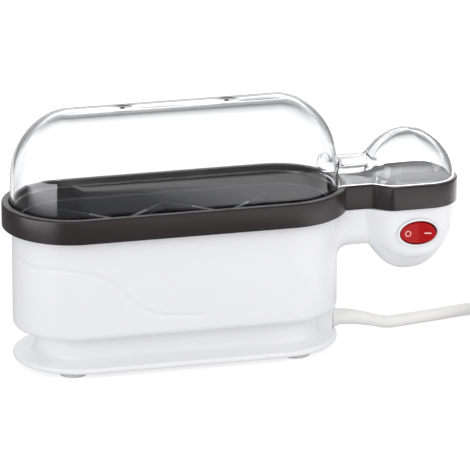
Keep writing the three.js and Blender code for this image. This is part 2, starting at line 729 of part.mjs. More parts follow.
function bodyShell() {
  const edge = [];
  for (let i = 0; i <= BODY_EDGE_STEPS; i += 1) {
    const angle = (QUARTER * i) / BODY_EDGE_STEPS;
    edge.push([
      BODY_RADIUS - BODY_EDGE * (1 - Math.sin(angle)),
      BODY_BOTTOM + BODY_EDGE * (1 - Math.cos(angle)),
    ]);
  }
  const outer = stadiumSolid([...edge, [BODY_RADIUS, BODY_TOP]]);
  const inner = stadiumSolid([
    [BODY_RADIUS - BODY_EDGE, BODY_FLOOR_TOP],
    [BODY_RADIUS - BODY_WALL, BODY_FLOOR_TOP + BODY_EDGE - BODY_WALL],
    [BODY_RADIUS - BODY_WALL, BODY_TOP + OVERRUN],
  ]);
  const neck = neckBar(0, POD_BODY_TOP, NECK_ROOT_X, BULB_CENTRE_X);
  const neckInner = neckBar(BODY_WALL, POD_BODY_TOP + OVERRUN, NECK_ROOT_X, BULB_CENTRE_X);
  const round = (radius, start, end) =>
    rodAlongY(radius, start, end, SWITCH_X, SWITCH_Z, ROUND_SIDES);
  const padOuter = round(PAD_RADIUS, -PAD_Y, 0);
  const padFace = round(PAD_RADIUS, -2 * PAD_Y, -PAD_Y);
  const padRoom = round(PAD_RADIUS - BODY_WALL, -PAD_Y + PAD_THICKNESS, 0);
  const padBack = round(PAD_RADIUS, -PAD_Y, -PAD_Y + PAD_THICKNESS);
  const pod = cut(join(neck, bulb(0, 0), padOuter), padFace);
  const podRoom = cut(join(bulb(BODY_WALL, OVERRUN), padRoom), padBack);
  const switchHole = ovalAlongY(
    SWITCH_OPENING_HALF_LENGTH + SWITCH_TUBE_WALL + GAP,
    SWITCH_OPENING_HALF_HEIGHT + SWITCH_TUBE_WALL + GAP,
    -PAD_Y - OVERRUN,
    -PAD_Y + PAD_THICKNESS + OVERRUN,
  );
  const bosses = screwPlaces().map(([x, y]) =>
    rod(POST_RADIUS, BODY_BOTTOM, BODY_FLOOR_TOP + BOSS_HEIGHT, x, y, ROUND_SIDES / 2),
  );
  const screwHoles = screwPlaces().map(([x, y]) =>
    rod(SCREW_RADIUS + GAP, BODY_BOTTOM - OVERRUN, BODY_FLOOR_TOP + BOSS_HEIGHT + OVERRUN, x, y),
  );
  const cordHole = block(
    CORD_HOLE_X - CORD_HOLE_LENGTH / 2,
    CORD_HOLE_X + CORD_HOLE_LENGTH / 2,
    -CORD_HOLE_WIDTH / 2,
    CORD_HOLE_WIDTH / 2,
    BODY_BOTTOM - OVERRUN,
    BODY_FLOOR_TOP + OVERRUN,
  );
  const hollow = cut(join(outer, pod), inner, neckInner, podRoom, switchHole, cordHole);
  return cut(join(hollow, ...bosses), ...screwHoles, waveGroove());
}

// Rim frame, seal and pan

function podOutline(inset, start) {
  const neck = RIM_NECK_HALF_WIDTH - inset;
  const pod = POD_HALF_WIDTH - inset;
  const end = POD_END - inset;
  const flare = FLARE_START_X + inset * Math.tan(QUARTER / 4);
  const flareEnd = flare + POD_HALF_WIDTH - RIM_NECK_HALF_WIDTH;
  return roundedOutline(
    [
      [start, -neck, 0],
      [flare, -neck, FLARE_RADIUS + inset],
      [flareEnd, -pod, FLARE_RADIUS],
      [end, -pod, POD_CORNER - inset],
      [end, pod, POD_CORNER - inset],
      [flareEnd, pod, FLARE_RADIUS],
      [flare, neck, FLARE_RADIUS + inset],
      [start, neck, 0],
    ],
    POD_CORNER_STEPS,
  );
}

function rimFrame() {
  const ring = stadiumRing([
    [RIM_RADIUS, RIM_BOTTOM],
    [RIM_RADIUS, RIM_TOP - RIM_BEVEL],
    [RIM_RADIUS - RIM_BEVEL, RIM_TOP],
    [RIM_MOUTH_RADIUS, RIM_TOP],
    [RIM_MOUTH_RADIUS, RIM_LEDGE_Z],
    [RIM_LEDGE_RADIUS, RIM_LEDGE_Z],
    [RIM_LEDGE_RADIUS, PAN_TOP + GAP],
    [RIM_LEDGE_RADIUS + RIM_LEG_WALL, PAN_TOP + GAP],
    [RIM_LEDGE_RADIUS + RIM_LEG_WALL, RIM_LEDGE_Z - RIM_WEB],
    [RIM_RADIUS - RIM_SKIRT, RIM_LEDGE_Z - RIM_WEB],
    [RIM_RADIUS - RIM_SKIRT, RIM_BOTTOM],
  ]);
  const start = END_CENTRE + RIM_MOUTH_RADIUS - RIM_LEG_WALL;
  const deck = prism(podOutline(0, start), RIM_BOTTOM, RIM_TOP);
  const room = prism(
    podOutline(RIM_SKIRT, END_CENTRE + RIM_RADIUS - RIM_SKIRT - GAP),
    RIM_BOTTOM - OVERRUN,
    RIM_TOP - DECK_THICKNESS,
  );
  const clearOfRing = stadiumSolid([
    [RIM_RADIUS - RIM_SKIRT / 2, RIM_BOTTOM - OVERRUN],
    [RIM_RADIUS - RIM_SKIRT / 2, RIM_TOP + OVERRUN],
  ]);
  const neckDeck = cut(deck, room, clearOfRing);
  return join(ring, neckDeck);
}

function panSeal() {
  return stadiumRing([
    [BODY_RADIUS - SEAL_INSET, SEAL_BOTTOM],
    [BODY_RADIUS - SEAL_INSET, SEAL_TOP],
    [BODY_RADIUS - BODY_WALL + SEAL_INSET, SEAL_TOP],
    [BODY_RADIUS - BODY_WALL + SEAL_INSET, SEAL_BOTTOM],
  ]);
}

function heatingPan() {
  const wall = PAN_RADIUS + PAN_WALL;
  const dish = stadiumSolid([
    [wall - PAN_FILLET, PAN_UNDERSIDE],
    [wall, PAN_UNDERSIDE + PAN_FILLET],
    [wall, PAN_FLANGE_BOTTOM],
    [PAN_FLANGE_RADIUS, PAN_FLANGE_BOTTOM],
    [PAN_FLANGE_RADIUS, PAN_TOP],
    [PAN_RADIUS, PAN_TOP],
    [PAN_RADIUS, PAN_FLOOR_TOP + PAN_FILLET],
    [PAN_RADIUS - PAN_FILLET, PAN_FLOOR_TOP],
  ]);
  const studs = [STUD_X, -STUD_X].map((x) =>
    rod(STUD_RADIUS, PAN_UNDERSIDE - STUD_LENGTH, PAN_FLOOR_TOP - PAN_FLOOR / 2, x, 0),
  );
  return join(dish, ...studs);
}

// Heating element and what is clamped under the pan

function heatingElement() {
  const points = [];
  for (const x of [ELEMENT_LEG_END, (ELEMENT_LEG_END + ELEMENT_LEG_START) / 2]) {
    points.push([x, ELEMENT_HALF_SPACING, ELEMENT_Z]);
  }
  for (let i = 0; i <= END_STEPS / 2; i += 1) {
    const angle = QUARTER + (Math.PI * i * 2) / END_STEPS;
    points.push([
      ELEMENT_LEG_START + ELEMENT_HALF_SPACING * Math.cos(angle),
      ELEMENT_HALF_SPACING * Math.sin(angle),
      ELEMENT_Z,
    ]);
  }
  for (const x of [(ELEMENT_LEG_END + ELEMENT_LEG_START) / 2, ELEMENT_LEG_END]) {
    points.push([x, -ELEMENT_HALF_SPACING, ELEMENT_Z]);
  }
  return tube(curveThrough(points), ELEMENT_RADIUS, CORD_SIDES, END_STEPS * 2);
}

function elementPin(side) {
  const start = ELEMENT_LEG_END + GAP;
  return rodAlongX(PIN_RADIUS, start, start + PIN_LENGTH, side * ELEMENT_HALF_SPACING, ELEMENT_Z);
}

function elementClamp() {
  const plate = block(
    -CLAMP_HALF_LENGTH,
    CLAMP_HALF_LENGTH,
    -CLAMP_HALF_WIDTH,
    CLAMP_HALF_WIDTH,
    CLAMP_BOTTOM,
    CLAMP_TOP,
  );
  const holes = [STUD_X, -STUD_X].map((x) =>
    rod(STUD_RADIUS + GAP, CLAMP_BOTTOM - OVERRUN, CLAMP_TOP + OVERRUN, x, 0),
  );
  return cut(plate, ...holes);
}

function clampNut(x) {
  const high = CLAMP_BOTTOM - GAP;
  const hexagon = rod(NUT_RADIUS, high - NUT_HEIGHT, high, x, 0, NUT_SIDES);
  const hole = rod(
    STUD_RADIUS + NUT_CLEARANCE,
    high - NUT_HEIGHT - OVERRUN,
    high + OVERRUN,
    x,
    0,
  );
  return cut(hexagon, hole);
}

function thermostat() {
  const low = CLAMP_TOP + GAP;
  const high = PAN_UNDERSIDE - GAP;
  const can = rod(THERMOSTAT_RADIUS, low, high, 0, 0, ROUND_SIDES);
  const tabs = block(
    -THERMOSTAT_RADIUS - THERMOSTAT_TAB_REACH,
    THERMOSTAT_RADIUS + THERMOSTAT_TAB_REACH,
    -THERMOSTAT_TAB_WIDTH / 2,
    THERMOSTAT_TAB_WIDTH / 2,
    low + GAP,
    low + GAP + THERMOSTAT_TAB_THICKNESS,
  );
  return join(can, tabs);
}

function thermalFuse() {
  const z = PAN_UNDERSIDE - GAP - FUSE_RADIUS;
  return rodAlongY(FUSE_RADIUS, -FUSE_LENGTH / 2, FUSE_LENGTH / 2, FUSE_X, z);
}

function earthTab() {
  const high = PAN_UNDERSIDE - GAP;
  const foot = block(
    EARTH_TAB_X,
    EARTH_TAB_X + EARTH_TAB_LENGTH,
    -EARTH_TAB_WIDTH / 2,
    EARTH_TAB_WIDTH / 2,
    high - EARTH_TAB_THICKNESS,
    high,
  );
  const blade = block(
    EARTH_TAB_X,
    EARTH_TAB_X + EARTH_TAB_THICKNESS,
    -EARTH_TAB_WIDTH / 2,
    EARTH_TAB_WIDTH / 2,
    high - EARTH_TAB_DROP,
    high,
  );
  return join(foot, blade);
}

// Egg carrier: a hoop that hangs in the pan, with crossed ribs between the three eggs

function eggCarrier() {
  const inner = CARRIER_RADIUS - CARRIER_WALL;
  const hoop = stadiumRing([
    [CARRIER_RADIUS, CARRIER_BOTTOM],
    [CARRIER_RADIUS, CARRIER_FLANGE_BOTTOM],
    [CARRIER_FLANGE_RADIUS, CARRIER_FLANGE_BOTTOM],
    [CARRIER_FLANGE_RADIUS, CARRIER_TOP],
    [inner, CARRIER_TOP],
    [inner, CARRIER_BOTTOM],
  ]);
  const inside = stadiumSolid([
    [inner + CARRIER_WALL / 2, CARRIER_BOTTOM],
    [inner + CARRIER_WALL / 2, RIB_TOP],
  ]);
  const ribs = [];
  for (const x of [-END_CENTRE / 2, END_CENTRE / 2]) {
    for (const sign of [1, -1]) {
      const length = 3 * CARRIER_RADIUS;
      const bar = new THREE.BoxGeometry(length, RIB_WIDTH, RIB_TOP - CARRIER_BOTTOM);
      bar.rotateZ(sign * radians(RIB_ANGLE_DEG));
      ribs.push(solid(bar.translate(x, 0, (RIB_TOP + CARRIER_BOTTOM) / 2)));
    }
  }
  return join(hoop, join(...ribs).intersect(inside));
}

// Clear lid: long dome, bridge and small dome in one moulding

function domeProfile(inset) {
  const profile = [[LID_RADIUS - inset, LID_BOTTOM]];
  const centre = LID_SHOULDER_RADIUS - LID_ARC_RADIUS;
  const last = Math.acos((LID_TOP_HALF_WIDTH - centre) / LID_ARC_RADIUS);
  for (let i = 0; i <= LID_ARC_STEPS; i += 1) {
    const angle = (last * i) / LID_ARC_STEPS;
    const radius = LID_ARC_RADIUS - inset;
    profile.push([centre + radius * Math.cos(angle), LID_SHOULDER_Z + radius * Math.sin(angle)]);
  }
  return profile;
}

function longDome(inset) {
  const profile = domeProfile(inset);
  if (inset > 0) profile.unshift([LID_RADIUS - inset, LID_BOTTOM - OVERRUN]);
  return stadiumSolid(profile);
}

function smallDome(inset) {
  const margin = SMALL_DOME_INSET + inset;
  const base = cornered(
    POD_END - SMALL_DOME_X - margin,
    POD_HALF_WIDTH - margin,
    POD_CORNER - margin,
    POD_CORNER_STEPS,
  );
  const height = SMALL_DOME_HEIGHT - inset;
  const rings = [];
  for (let i = 0; i <= SMALL_DOME_RINGS; i += 1) {
    const rise = Math.sin((QUARTER * i) / SMALL_DOME_RINGS) * SMALL_DOME_CAP_SHARE;
    const scale = (1 - rise ** SMALL_DOME_POWER) ** (1 / SMALL_DOME_POWER);
    rings.push(
      base.map(
        (point) =>
          new THREE.Vector3(
            SMALL_DOME_X + point.x * scale,
            point.y * scale,
            LID_DECK_Z + height * rise,
          ),
      ),
    );
  }
  return loft(rings);
}

function bridge(inset) {
  const half = BRIDGE_HALF_WIDTH - inset;
  const high = BRIDGE_TOP - inset;
  const corner = BRIDGE_CORNER - inset / 2;
  const outline = roundedOutline([
    [-half, LID_DECK_Z, 0],
    [half, LID_DECK_Z, 0],
    [half, high, corner],
    [-half, high, corner],
  ]);
  return prismAlongX(outline, BRIDGE_START_X, BRIDGE_END_X);
}

function lidTop() {
  const centre = LID_SHOULDER_RADIUS - LID_ARC_RADIUS;
  const last = Math.acos((LID_TOP_HALF_WIDTH - centre) / LID_ARC_RADIUS);
  return LID_SHOULDER_Z + LID_ARC_RADIUS * Math.sin(last);
}

function clearLid() {
  const top = lidTop();
  const outside = join(longDome(0), bridge(0), smallDome(0));
  const inside = join(longDome(LID_WALL), bridge(LID_WALL), smallDome(LID_WALL));
  const shell = cut(outside, inside);
  const collars = [-VENT_X, VENT_X].map((x) =>
    rod(
      VENT_RECESS_RADIUS,
      top - LID_WALL - VENT_COLLAR_DEPTH,
      top - VENT_RECESS_DEPTH,
      x,
      0,
      ROUND_SIDES,
    ),
  );
  const recesses = [-VENT_X, VENT_X].map((x) =>
    rod(VENT_RECESS_RADIUS, top - VENT_RECESS_DEPTH, top + OVERRUN, x, 0, ROUND_SIDES),
  );
  const holes = [-VENT_X, VENT_X].map((x) =>
    rod(
      VENT_RADIUS,
      top - LID_WALL - VENT_COLLAR_DEPTH - OVERRUN,
      top + OVERRUN,
      x,
      0,
      ROUND_SIDES / 2,
    ),
  );
  return cut(join(shell, ...collars), ...recesses, ...holes);
}

// Rocker switch

function switchHousing() {
  const flange = ovalAlongY(BEZEL_HALF_LENGTH, BEZEL_HALF_HEIGHT, BEZEL_FRONT, -PAD_Y - GAP);
  const sleeve = ovalAlongY(
    SWITCH_OPENING_HALF_LENGTH + SWITCH_TUBE_WALL,
    SWITCH_OPENING_HALF_HEIGHT + SWITCH_TUBE_WALL,
    -PAD_Y - GAP - OVERRUN,
    SWITCH_BACK_Y,
  );
  const room = ovalAlongY(
    SWITCH_OPENING_HALF_LENGTH,
    SWITCH_OPENING_HALF_HEIGHT,
    BEZEL_FRONT - OVERRUN,
    SWITCH_BACK_Y - SWITCH_BACK_WALL,
  );
  const slots = bladePlaces().map((x) =>
    block(
      x - BLADE_THICKNESS / 2 - GAP,
      x + BLADE_THICKNESS / 2 + GAP,
      SWITCH_BACK_Y - SWITCH_BACK_WALL - OVERRUN,
      SWITCH_BACK_Y + OVERRUN,
      SWITCH_Z - BLADE_WIDTH / 2 - GAP,
      SWITCH_Z + BLADE_WIDTH / 2 + GAP,
    ),
  );
  const pivots = rod(
    ROCKER_BORE_RADIUS,
    SWITCH_Z - SWITCH_OPENING_HALF_HEIGHT - SWITCH_TUBE_WALL / 2,
    SWITCH_Z + SWITCH_OPENING_HALF_HEIGHT + SWITCH_TUBE_WALL / 2,
    SWITCH_X,
    ROCKER_PIVOT_Y,
  );
  return join(cut(join(flange, sleeve), room, ...slots), pivots);
}

function bladePlaces() {
  return [-1, 0, 1].map((side) => SWITCH_X + side * BLADE_SPACING);
}

function switchRocker() {
  const halfLength = SWITCH_OPENING_HALF_LENGTH - ROCKER_CLEARANCE;
  const halfHeight = SWITCH_OPENING_HALF_HEIGHT - ROCKER_CLEARANCE;
  const front = -ROCKER_PIVOT_BEHIND - ROCKER_PROUD;
  const rise = halfLength * Math.tan(radians(ROCKER_TILT_DEG));
  const back = front + ROCKER_DEPTH;
  const oval = new THREE.CylinderGeometry(1, 1, ROCKER_DEPTH + rise, ROUND_SIDES);
  oval.scale(halfLength, 1, halfHeight).translate(0, (front - rise + back) / 2, 0);
  const saddle = new THREE.ExtrudeGeometry(
    new THREE.Shape([
      new THREE.Vector2(-halfLength, front - rise),
      new THREE.Vector2(0, front),
      new THREE.Vector2(halfLength, front - rise),
      new THREE.Vector2(halfLength, back + ROCKER_STEM_DEPTH),
      new THREE.Vector2(-halfLength, back + ROCKER_STEM_DEPTH),
    ]),
    { depth: 2 * halfHeight, bevelEnabled: false },
  ).translate(0, 0, -halfHeight);
  const stemLength = ROCKER_DEPTH / 2 + ROCKER_STEM_DEPTH;
  const stem = new THREE.BoxGeometry(ROCKER_STEM_WIDTH, stemLength, ROCKER_STEM_WIDTH);
  stem.translate(0, STEM_TIP - stemLength / 2, 0);
  const cap = solid(oval).intersect(solid(saddle));
  const bore = rod(ROCKER_BORE_RADIUS + GAP, -halfHeight - OVERRUN, halfHeight + OVERRUN);
  return cut(join(cap, solid(stem)), bore);
}

function contactLever() {
  return block(
    -LEVER_HALF_LENGTH,
    LEVER_HALF_LENGTH,
    -LEVER_THICKNESS / 2,
    LEVER_THICKNESS / 2,
    -LEVER_WIDTH / 2,
    LEVER_WIDTH / 2,
  );
}

// The left blade is the fixed contact, the middle one carries the lever, the right one feeds the lamp
function switchBlade(x, i) {
  const reach = BLADE_SPACING + BLADE_THICKNESS / 2;
  const leverBack = LEVER_PIVOT_Y + LEVER_THICKNESS / 2 / Math.cos(radians(LEVER_TILT_DEG));
  const tips = [
    leverBack + reach * Math.tan(radians(LEVER_TILT_DEG)) + GAP,
    leverBack + (BLADE_THICKNESS / 2) * Math.tan(radians(LEVER_TILT_DEG)) + GAP,
    SWITCH_BACK_Y - SWITCH_BACK_WALL - GAP,
  ];
  return block(
    x - BLADE_THICKNESS / 2,
    x + BLADE_THICKNESS / 2,
    tips[i],
    SWITCH_BACK_Y + BLADE_TAIL,
    SWITCH_Z - BLADE_WIDTH / 2,
    SWITCH_Z + BLADE_WIDTH / 2,
  );
}

function switchLamp() {
  const y = SWITCH_BACK_Y - SWITCH_BACK_WALL - GAP - LAMP_RADIUS;
  const start = SWITCH_X - LAMP_LENGTH / 2;
  return rodAlongX(LAMP_RADIUS, start, start + LAMP_LENGTH, y, SWITCH_Z + LAMP_Z);
}

// Mains connection

function terminalBlock() {
  const body = block(
    BLOCK_X - BLOCK_LENGTH / 2,
    BLOCK_X + BLOCK_LENGTH / 2,
    -BLOCK_WIDTH / 2,
    BLOCK_WIDTH / 2,
    BLOCK_BOTTOM,
    BLOCK_TOP,
  );
  const holes = [-1, 0, 1].map((side) =>
    rod(
      BLOCK_SCREW_RADIUS + GAP,
      BLOCK_TOP - BLOCK_SCREW_DEPTH,
      BLOCK_TOP + OVERRUN,
      BLOCK_X,
      side * BLOCK_POLE_PITCH,
    ),
  );
  return cut(body, ...holes);
}

function blockScrew(side) {
  const low = BLOCK_TOP - BLOCK_SCREW_DEPTH + GAP;
  return rod(BLOCK_SCREW_RADIUS, low, BLOCK_TOP, BLOCK_X, side * BLOCK_POLE_PITCH);
}

function cordClamp() {
  const low = CORD_EXIT_Z + CORD_RADIUS + GAP;
  const bar = block(
    CORD_CLAMP_X - CORD_CLAMP_LENGTH / 2,
    CORD_CLAMP_X + CORD_CLAMP_LENGTH / 2,
    -CORD_CLAMP_HALF_SPAN,
    CORD_CLAMP_HALF_SPAN,
    low,
    low + CORD_CLAMP_THICKNESS,
  );
  const holes = [1, -1].map((side) =>
    rod(
      SCREW_RADIUS + GAP,
      low - OVERRUN,
      low + CORD_CLAMP_THICKNESS + OVERRUN,
      CORD_CLAMP_X,
      side * CLAMP_SCREW_Y,
    ),
  );
  return cut(bar, ...holes);
}

function clampScrew(side) {
  const seat = CORD_EXIT_Z + CORD_RADIUS + CORD_CLAMP_THICKNESS + GAP + GAP;
  const y = side * CLAMP_SCREW_Y;
  const top = seat + SCREW_HEAD_HEIGHT;
  const head = rod(CLAMP_SCREW_HEAD_RADIUS, seat, top, CORD_CLAMP_X, y);
  const shaft = rod(SCREW_RADIUS, seat - SCREW_BITE, top, CORD_CLAMP_X, y);
  return join(head, shaft);
}

// Points of the cord inside the housing, from the outlet to the terminal block
const innerCordRoute = [
  [78, 0, 12],
  [70, 0, 12],
  [62, 0, 12.4],
  [53, 0, 17],
  [43, 0, 25],
  [34, 0, 29.6],
  [27, 0, 30],
  [20.4, 0, 30],
];

function cordTube(route, radius) {
  return tube(curveThrough(route), radius, CORD_SIDES, CORD_STEPS_PER_POINT * route.length);
}

function cordTail() {
  return cordTube(innerCordRoute, CORD_RADIUS - GAP);
}

// Wires inside the housing, each from one terminal to the other
const supplyWireRoute = [
  [3.7, -8, 29],
  [0, -8, 29],
  [-5, -13, 33],
  [-3, -21, 42],
  [30, 1 - WIRE_SIDE_Y, 50],
  [66, -16, 58],
  [95, -7, 62],
  [113, 1, 62],
  [122, 9, 64],
  [128, 10, 66],
  [128.8, 4, 66],
  [128.8, 0, 66],
];
const switchedWireRoute = [
  [134.8, 0, 66],
  [134.8, 4, 66],
  [132, 12, 68.5],
  [122, 13, 69],
  [110, 8, 69],
  [90, 5, 67],
  [56, 7, 66.5],
  [40, 6.5, 67],
  [28, 5, 67],
  [20.5, 4.2, 66.8],
  [16.5, 0.6, 66.5],
  [13.7, 0, 66.5],
];
const fuseLinkRoute = [
  [-13.7, 0, 66.5],
  [-16.5, 0.6, 66.5],
  [-20.5, 5, 67],
  [-27, 8, 69],
  [-31, 9, 69.7],
  [-32, 6.3, 69.7],
];
const elementWireRoute = [
  [-32, -6.3, 69.7],
  [-32, -7.9, 69.7],
  [-33.4, -9, 65.5],
  [-35, -11, 58],
  [-24, -18, 54],
  [10, -22, 54],
  [45, -21, 57],
  [64, -18, 62],
  [69.5, -15, 67],
  [67, -14, 68.5],
  [63.6, -14, 68.5],
];
const neutralWireRoute = [
  [3.7, 8, 29],
  [0, 8, 29],
  [-5, 13, 33],
  [-3, 20, 42],
  [30, 22, 52],
  [58, 20, 60],
  [69.5, 15.5, 66],
  [67, 14, 68.5],
  [63.6, 14, 68.5],
];
const lampWireRoute = [
  [3.7, 9, 33],
  [1, 9, 33],
  [-1, 14, 37],
  [6, WIRE_SIDE_Y, 44],
  [45, WIRE_SIDE_Y, 48],
  [78, 12, 60],
  [96, 7, 64.5],
  [115, 9, 63],
  [130, 16, 62],
  [140, 11, 64],
  [140.8, 4, 66],
  [140.8, 0, 66],
];
const earthWireRoute = [
  [3.7, 0, 29],
  [0, 0, 29],
  [-7, 0, 35],
  [-8, 0, 44],
  [8, 3, 51],
  [30, 2, 54],
  [42.4, 0, 59],
  [42.4, 0, 63.4],
];

function wire(route) {
  return tube(curveThrough(route), WIRE_RADIUS, WIRE_SIDES, WIRE_STEPS_PER_POINT * route.length);
}

// Gland, free cord, coil, tie and plug

// Points of the free cord from the gland's tip to the coil
const freeCordRoute = [
  [113.4, 2.3, 8],
  [116.8, 3.2, 6.8],
  [124, 5.6, 4.4],
  [133, 8.2, 3.6],
  [143, 10.2, 3.6],
  [153, 12, 3.6],
  [166, 15, 3.6],
  [180, 17.6, 3.6],
  [192, 19.2, 3.8],
  [203, 20.1, 4.3],
  [211.7, 20.3, 4.5],
  [218.7, 20.3, 4.5],
];

function cordGland() {
  const start = END_CENTRE + WAIST_RADIUS - WAIST_WALL - GAP;
  const barrel = rodAlongX(
    GLAND_BARREL_RADIUS,
    start,
    GLAND_COLLAR_END_X,
    0,
    CORD_EXIT_Z,
    ROUND_SIDES / 2,
  );
  const collar = rodAlongX(
    GLAND_COLLAR_RADIUS,
    OUTLET_END_X + GAP,
    GLAND_COLLAR_END_X,
    0,
    CORD_EXIT_Z,
    ROUND_SIDES / 2,
  );
  return join(barrel, collar, glandTaper());
}

// The tapered sleeve bends down with the cord
function glandTaper() {
  const [tipX, tipY, tipZ] = freeCordRoute[0];
  const [afterX, afterY, afterZ] = freeCordRoute[1];
  const ahead = new THREE.Vector3(afterX - tipX, afterY - tipY, afterZ - tipZ).normalize();
  const tip = new THREE.Vector3(tipX, tipY, tipZ).addScaledVector(ahead, -GAP);
  const start = new THREE.Vector3(GLAND_COLLAR_END_X - OVERRUN, 0, CORD_EXIT_Z);
  const reach = tip.distanceTo(start) / 3;
  const curve = new THREE.CubicBezierCurve3(
    start,
    start.clone().add(new THREE.Vector3(reach, 0, 0)),
    tip.clone().addScaledVector(ahead, -reach),
    tip,
  );
  const rings = [];
  for (let i = 0; i <= CORD_SIDES; i += 1) {
    const share = i / CORD_SIDES;
    const radius = THREE.MathUtils.lerp(GLAND_BARREL_RADIUS + GAP, GLAND_TIP_RADIUS, share);
    rings.push(crossRing(curve.getPoint(share), curve.getTangent(share), radius, ROUND_SIDES / 2));
  }
  return loft(rings);
}

// A ring of points round a place on a path, square to the path
function crossRing(place, ahead, radius, sides) {
  const across = new THREE.Vector3(-ahead.y, ahead.x, 0).normalize();
  const up = ahead.clone().cross(across);
  const ring = [];
  for (let i = 0; i < sides; i += 1) {
    const angle = (2 * Math.PI * (i + 1 / 2)) / sides;
    ring.push(
      place
        .clone()
        .addScaledVector(across, radius * Math.cos(angle))
        .addScaledVector(up, radius * Math.sin(angle)),
    );
  }
  return ring;
}

function freeCord() {
  return cordTube(freeCordRoute, CORD_RADIUS);
}

const coilSpread = COIL_TURN_PITCH * (COIL_LAYER_TURNS + COIL_CLIMB_TURN / 2);
const coilOuterRadius = COIL_MEAN_RADIUS + coilSpread / 2;
const coilInnerRadius = COIL_MEAN_RADIUS - coilSpread / 2;
const coilLow = CORD_RADIUS + TIE_THICKNESS + GAP;
const coilCentre = new THREE.Vector2(
  freeCordRoute.at(-1)[0] + GAP,
  freeCordRoute.at(-1)[1] - coilOuterRadius,
);
const plugAxisZ = PLUG_BODY_HEIGHT / 2;

const smooth = (share) => share * share * (3 - 2 * share);

// Places along the coil: in over the table, up a layer, out again, and off to the plug
function coilPlaces() {
  const turns = 2 * COIL_LAYER_TURNS + COIL_CLIMB_TURN - COIL_LEAVE_DEG / 360;
  const inward = COIL_LAYER_TURNS + COIL_CLIMB_TURN / 2;
  const steps = Math.round(turns * COIL_STEPS_PER_TURN);
  const places = [];
  for (let i = 0; i <= steps; i += 1) {
    const turn = (i * turns) / steps;
    const climb = THREE.MathUtils.clamp((turn - COIL_LAYER_TURNS) / COIL_CLIMB_TURN, 0, 1);
    const drawn = turn < inward ? turn : 2 * inward - turn;
    const radius = coilOuterRadius - COIL_TURN_PITCH * drawn;
    const angle = QUARTER - 2 * Math.PI * turn;
    places.push(
      new THREE.Vector3(
        coilCentre.x + radius * Math.cos(angle),
        coilCentre.y + radius * Math.sin(angle),
        coilLow + COIL_TURN_PITCH * smooth(climb),
      ),
    );
  }
  places[1].set(places[0].x + 2 * CORD_RADIUS, places[0].y, coilLow);
  return [...places, ...tailPlaces(places.at(-1))];
}

// Places from the coil's last one to the plug: straight on, then round towards the front
function tailPlaces(from) {
  const heading = radians(COIL_LEAVE_DEG);
  const axisX =
    coilCentre.x + coilOuterRadius + CORD_RADIUS + COIL_PLUG_CLEARANCE + PLUG_BODY_WIDTH / 2;
  const bendX = axisX - TAIL_BEND_RADIUS;
  const run = (bendX - TAIL_BEND_RADIUS * Math.sin(heading) - from.x) / Math.cos(heading);
  const bendY = from.y + run * Math.sin(heading) - TAIL_BEND_RADIUS * Math.cos(heading);
  const places = [];
  for (let i = 1; i <= TAIL_RUN_STEPS; i += 1) {
    const along = (run * i) / TAIL_RUN_STEPS;
    const x = from.x + along * Math.cos(heading);
    places.push(new THREE.Vector3(x, from.y + along * Math.sin(heading), from.z));
  }
  for (let i = 1; i <= TAIL_BEND_STEPS; i += 1) {
    const share = i / TAIL_BEND_STEPS;
    const angle = (QUARTER + heading) * (1 - share);
    places.push(
      new THREE.Vector3(
        bendX + TAIL_BEND_RADIUS * Math.cos(angle),
        bendY + TAIL_BEND_RADIUS * Math.sin(angle),
        THREE.MathUtils.lerp(from.z, plugAxisZ, smooth(share)),
      ),
    );
  }
  places.push(new THREE.Vector3(axisX, bendY - CORD_RADIUS, plugAxisZ));
  return places;
}

const coilRoute = coilPlaces();

function cordCoil() {
  const rings = coilRoute.map((place, i) => {
    const before = coilRoute[Math.max(0, i - 1)];
    const after = coilRoute[Math.min(coilRoute.length - 1, i + 1)];
    return crossRing(place, after.clone().sub(before).normalize(), CORD_RADIUS, COIL_SIDES);
  });
  return loft(rings);
}

// A thin band round the turns where they are nearest to the table's front
function cordTie() {
  const inner = coilInnerRadius - CORD_RADIUS - 2 * GAP;
  const outer = coilOuterRadius + CORD_RADIUS;
  const top = coilLow + COIL_TURN_PITCH + CORD_RADIUS + GAP;
  const band = (grow) =>
    roundedOutline([
      [coilCentre.y - outer - grow, TIE_THICKNESS - grow, TIE_CORNER],
      [coilCentre.y - inner + grow, TIE_THICKNESS - grow, TIE_CORNER],
      [coilCentre.y - inner + grow, top + grow, TIE_CORNER],
      [coilCentre.y - outer - grow, top + grow, TIE_CORNER],
    ]);
  const start = coilCentre.x - TIE_WIDTH / 2;
  const end = coilCentre.x + TIE_WIDTH / 2;
  return cut(
    prismAlongX(band(TIE_THICKNESS), start, end),
    prismAlongX(band(0), start - OVERRUN, end + OVERRUN),
  );
}

// A ring of the plug's skin, square to its axis
function plugRing(y, halfWidth, halfHeight, corner) {
  const outline = cornered(halfWidth, halfHeight, corner);
  const axisX = coilRoute.at(-1).x;
  return outline.map((point) => new THREE.Vector3(axisX + point.x, y, plugAxisZ + point.y));
}

function plugBody() {
  const start = coilRoute.at(-1).y - GAP;
  const shoulder = start - PLUG_NECK_LENGTH;
  const face = shoulder - PLUG_BODY_LENGTH;
  const round = PLUG_CORNER / 4;
  const halfWidth = PLUG_BODY_WIDTH / 2;
  const halfHeight = PLUG_BODY_HEIGHT / 2;
  const neck = PLUG_NECK_RADIUS;
  const root = PLUG_NECK_RADIUS + 2 * GAP;
  return loft([
    plugRing(start, neck, neck, neck),
    plugRing(shoulder + round, root, root, root),
    plugRing(shoulder, halfWidth - PLUG_CORNER, halfHeight - round, round * 2),
    plugRing(shoulder - PLUG_CORNER, halfWidth - round, halfHeight, PLUG_CORNER),
    plugRing(face + round, halfWidth, halfHeight, PLUG_CORNER),
    plugRing(face, halfWidth - round, halfHeight - round, PLUG_CORNER - round),
  ]);
}

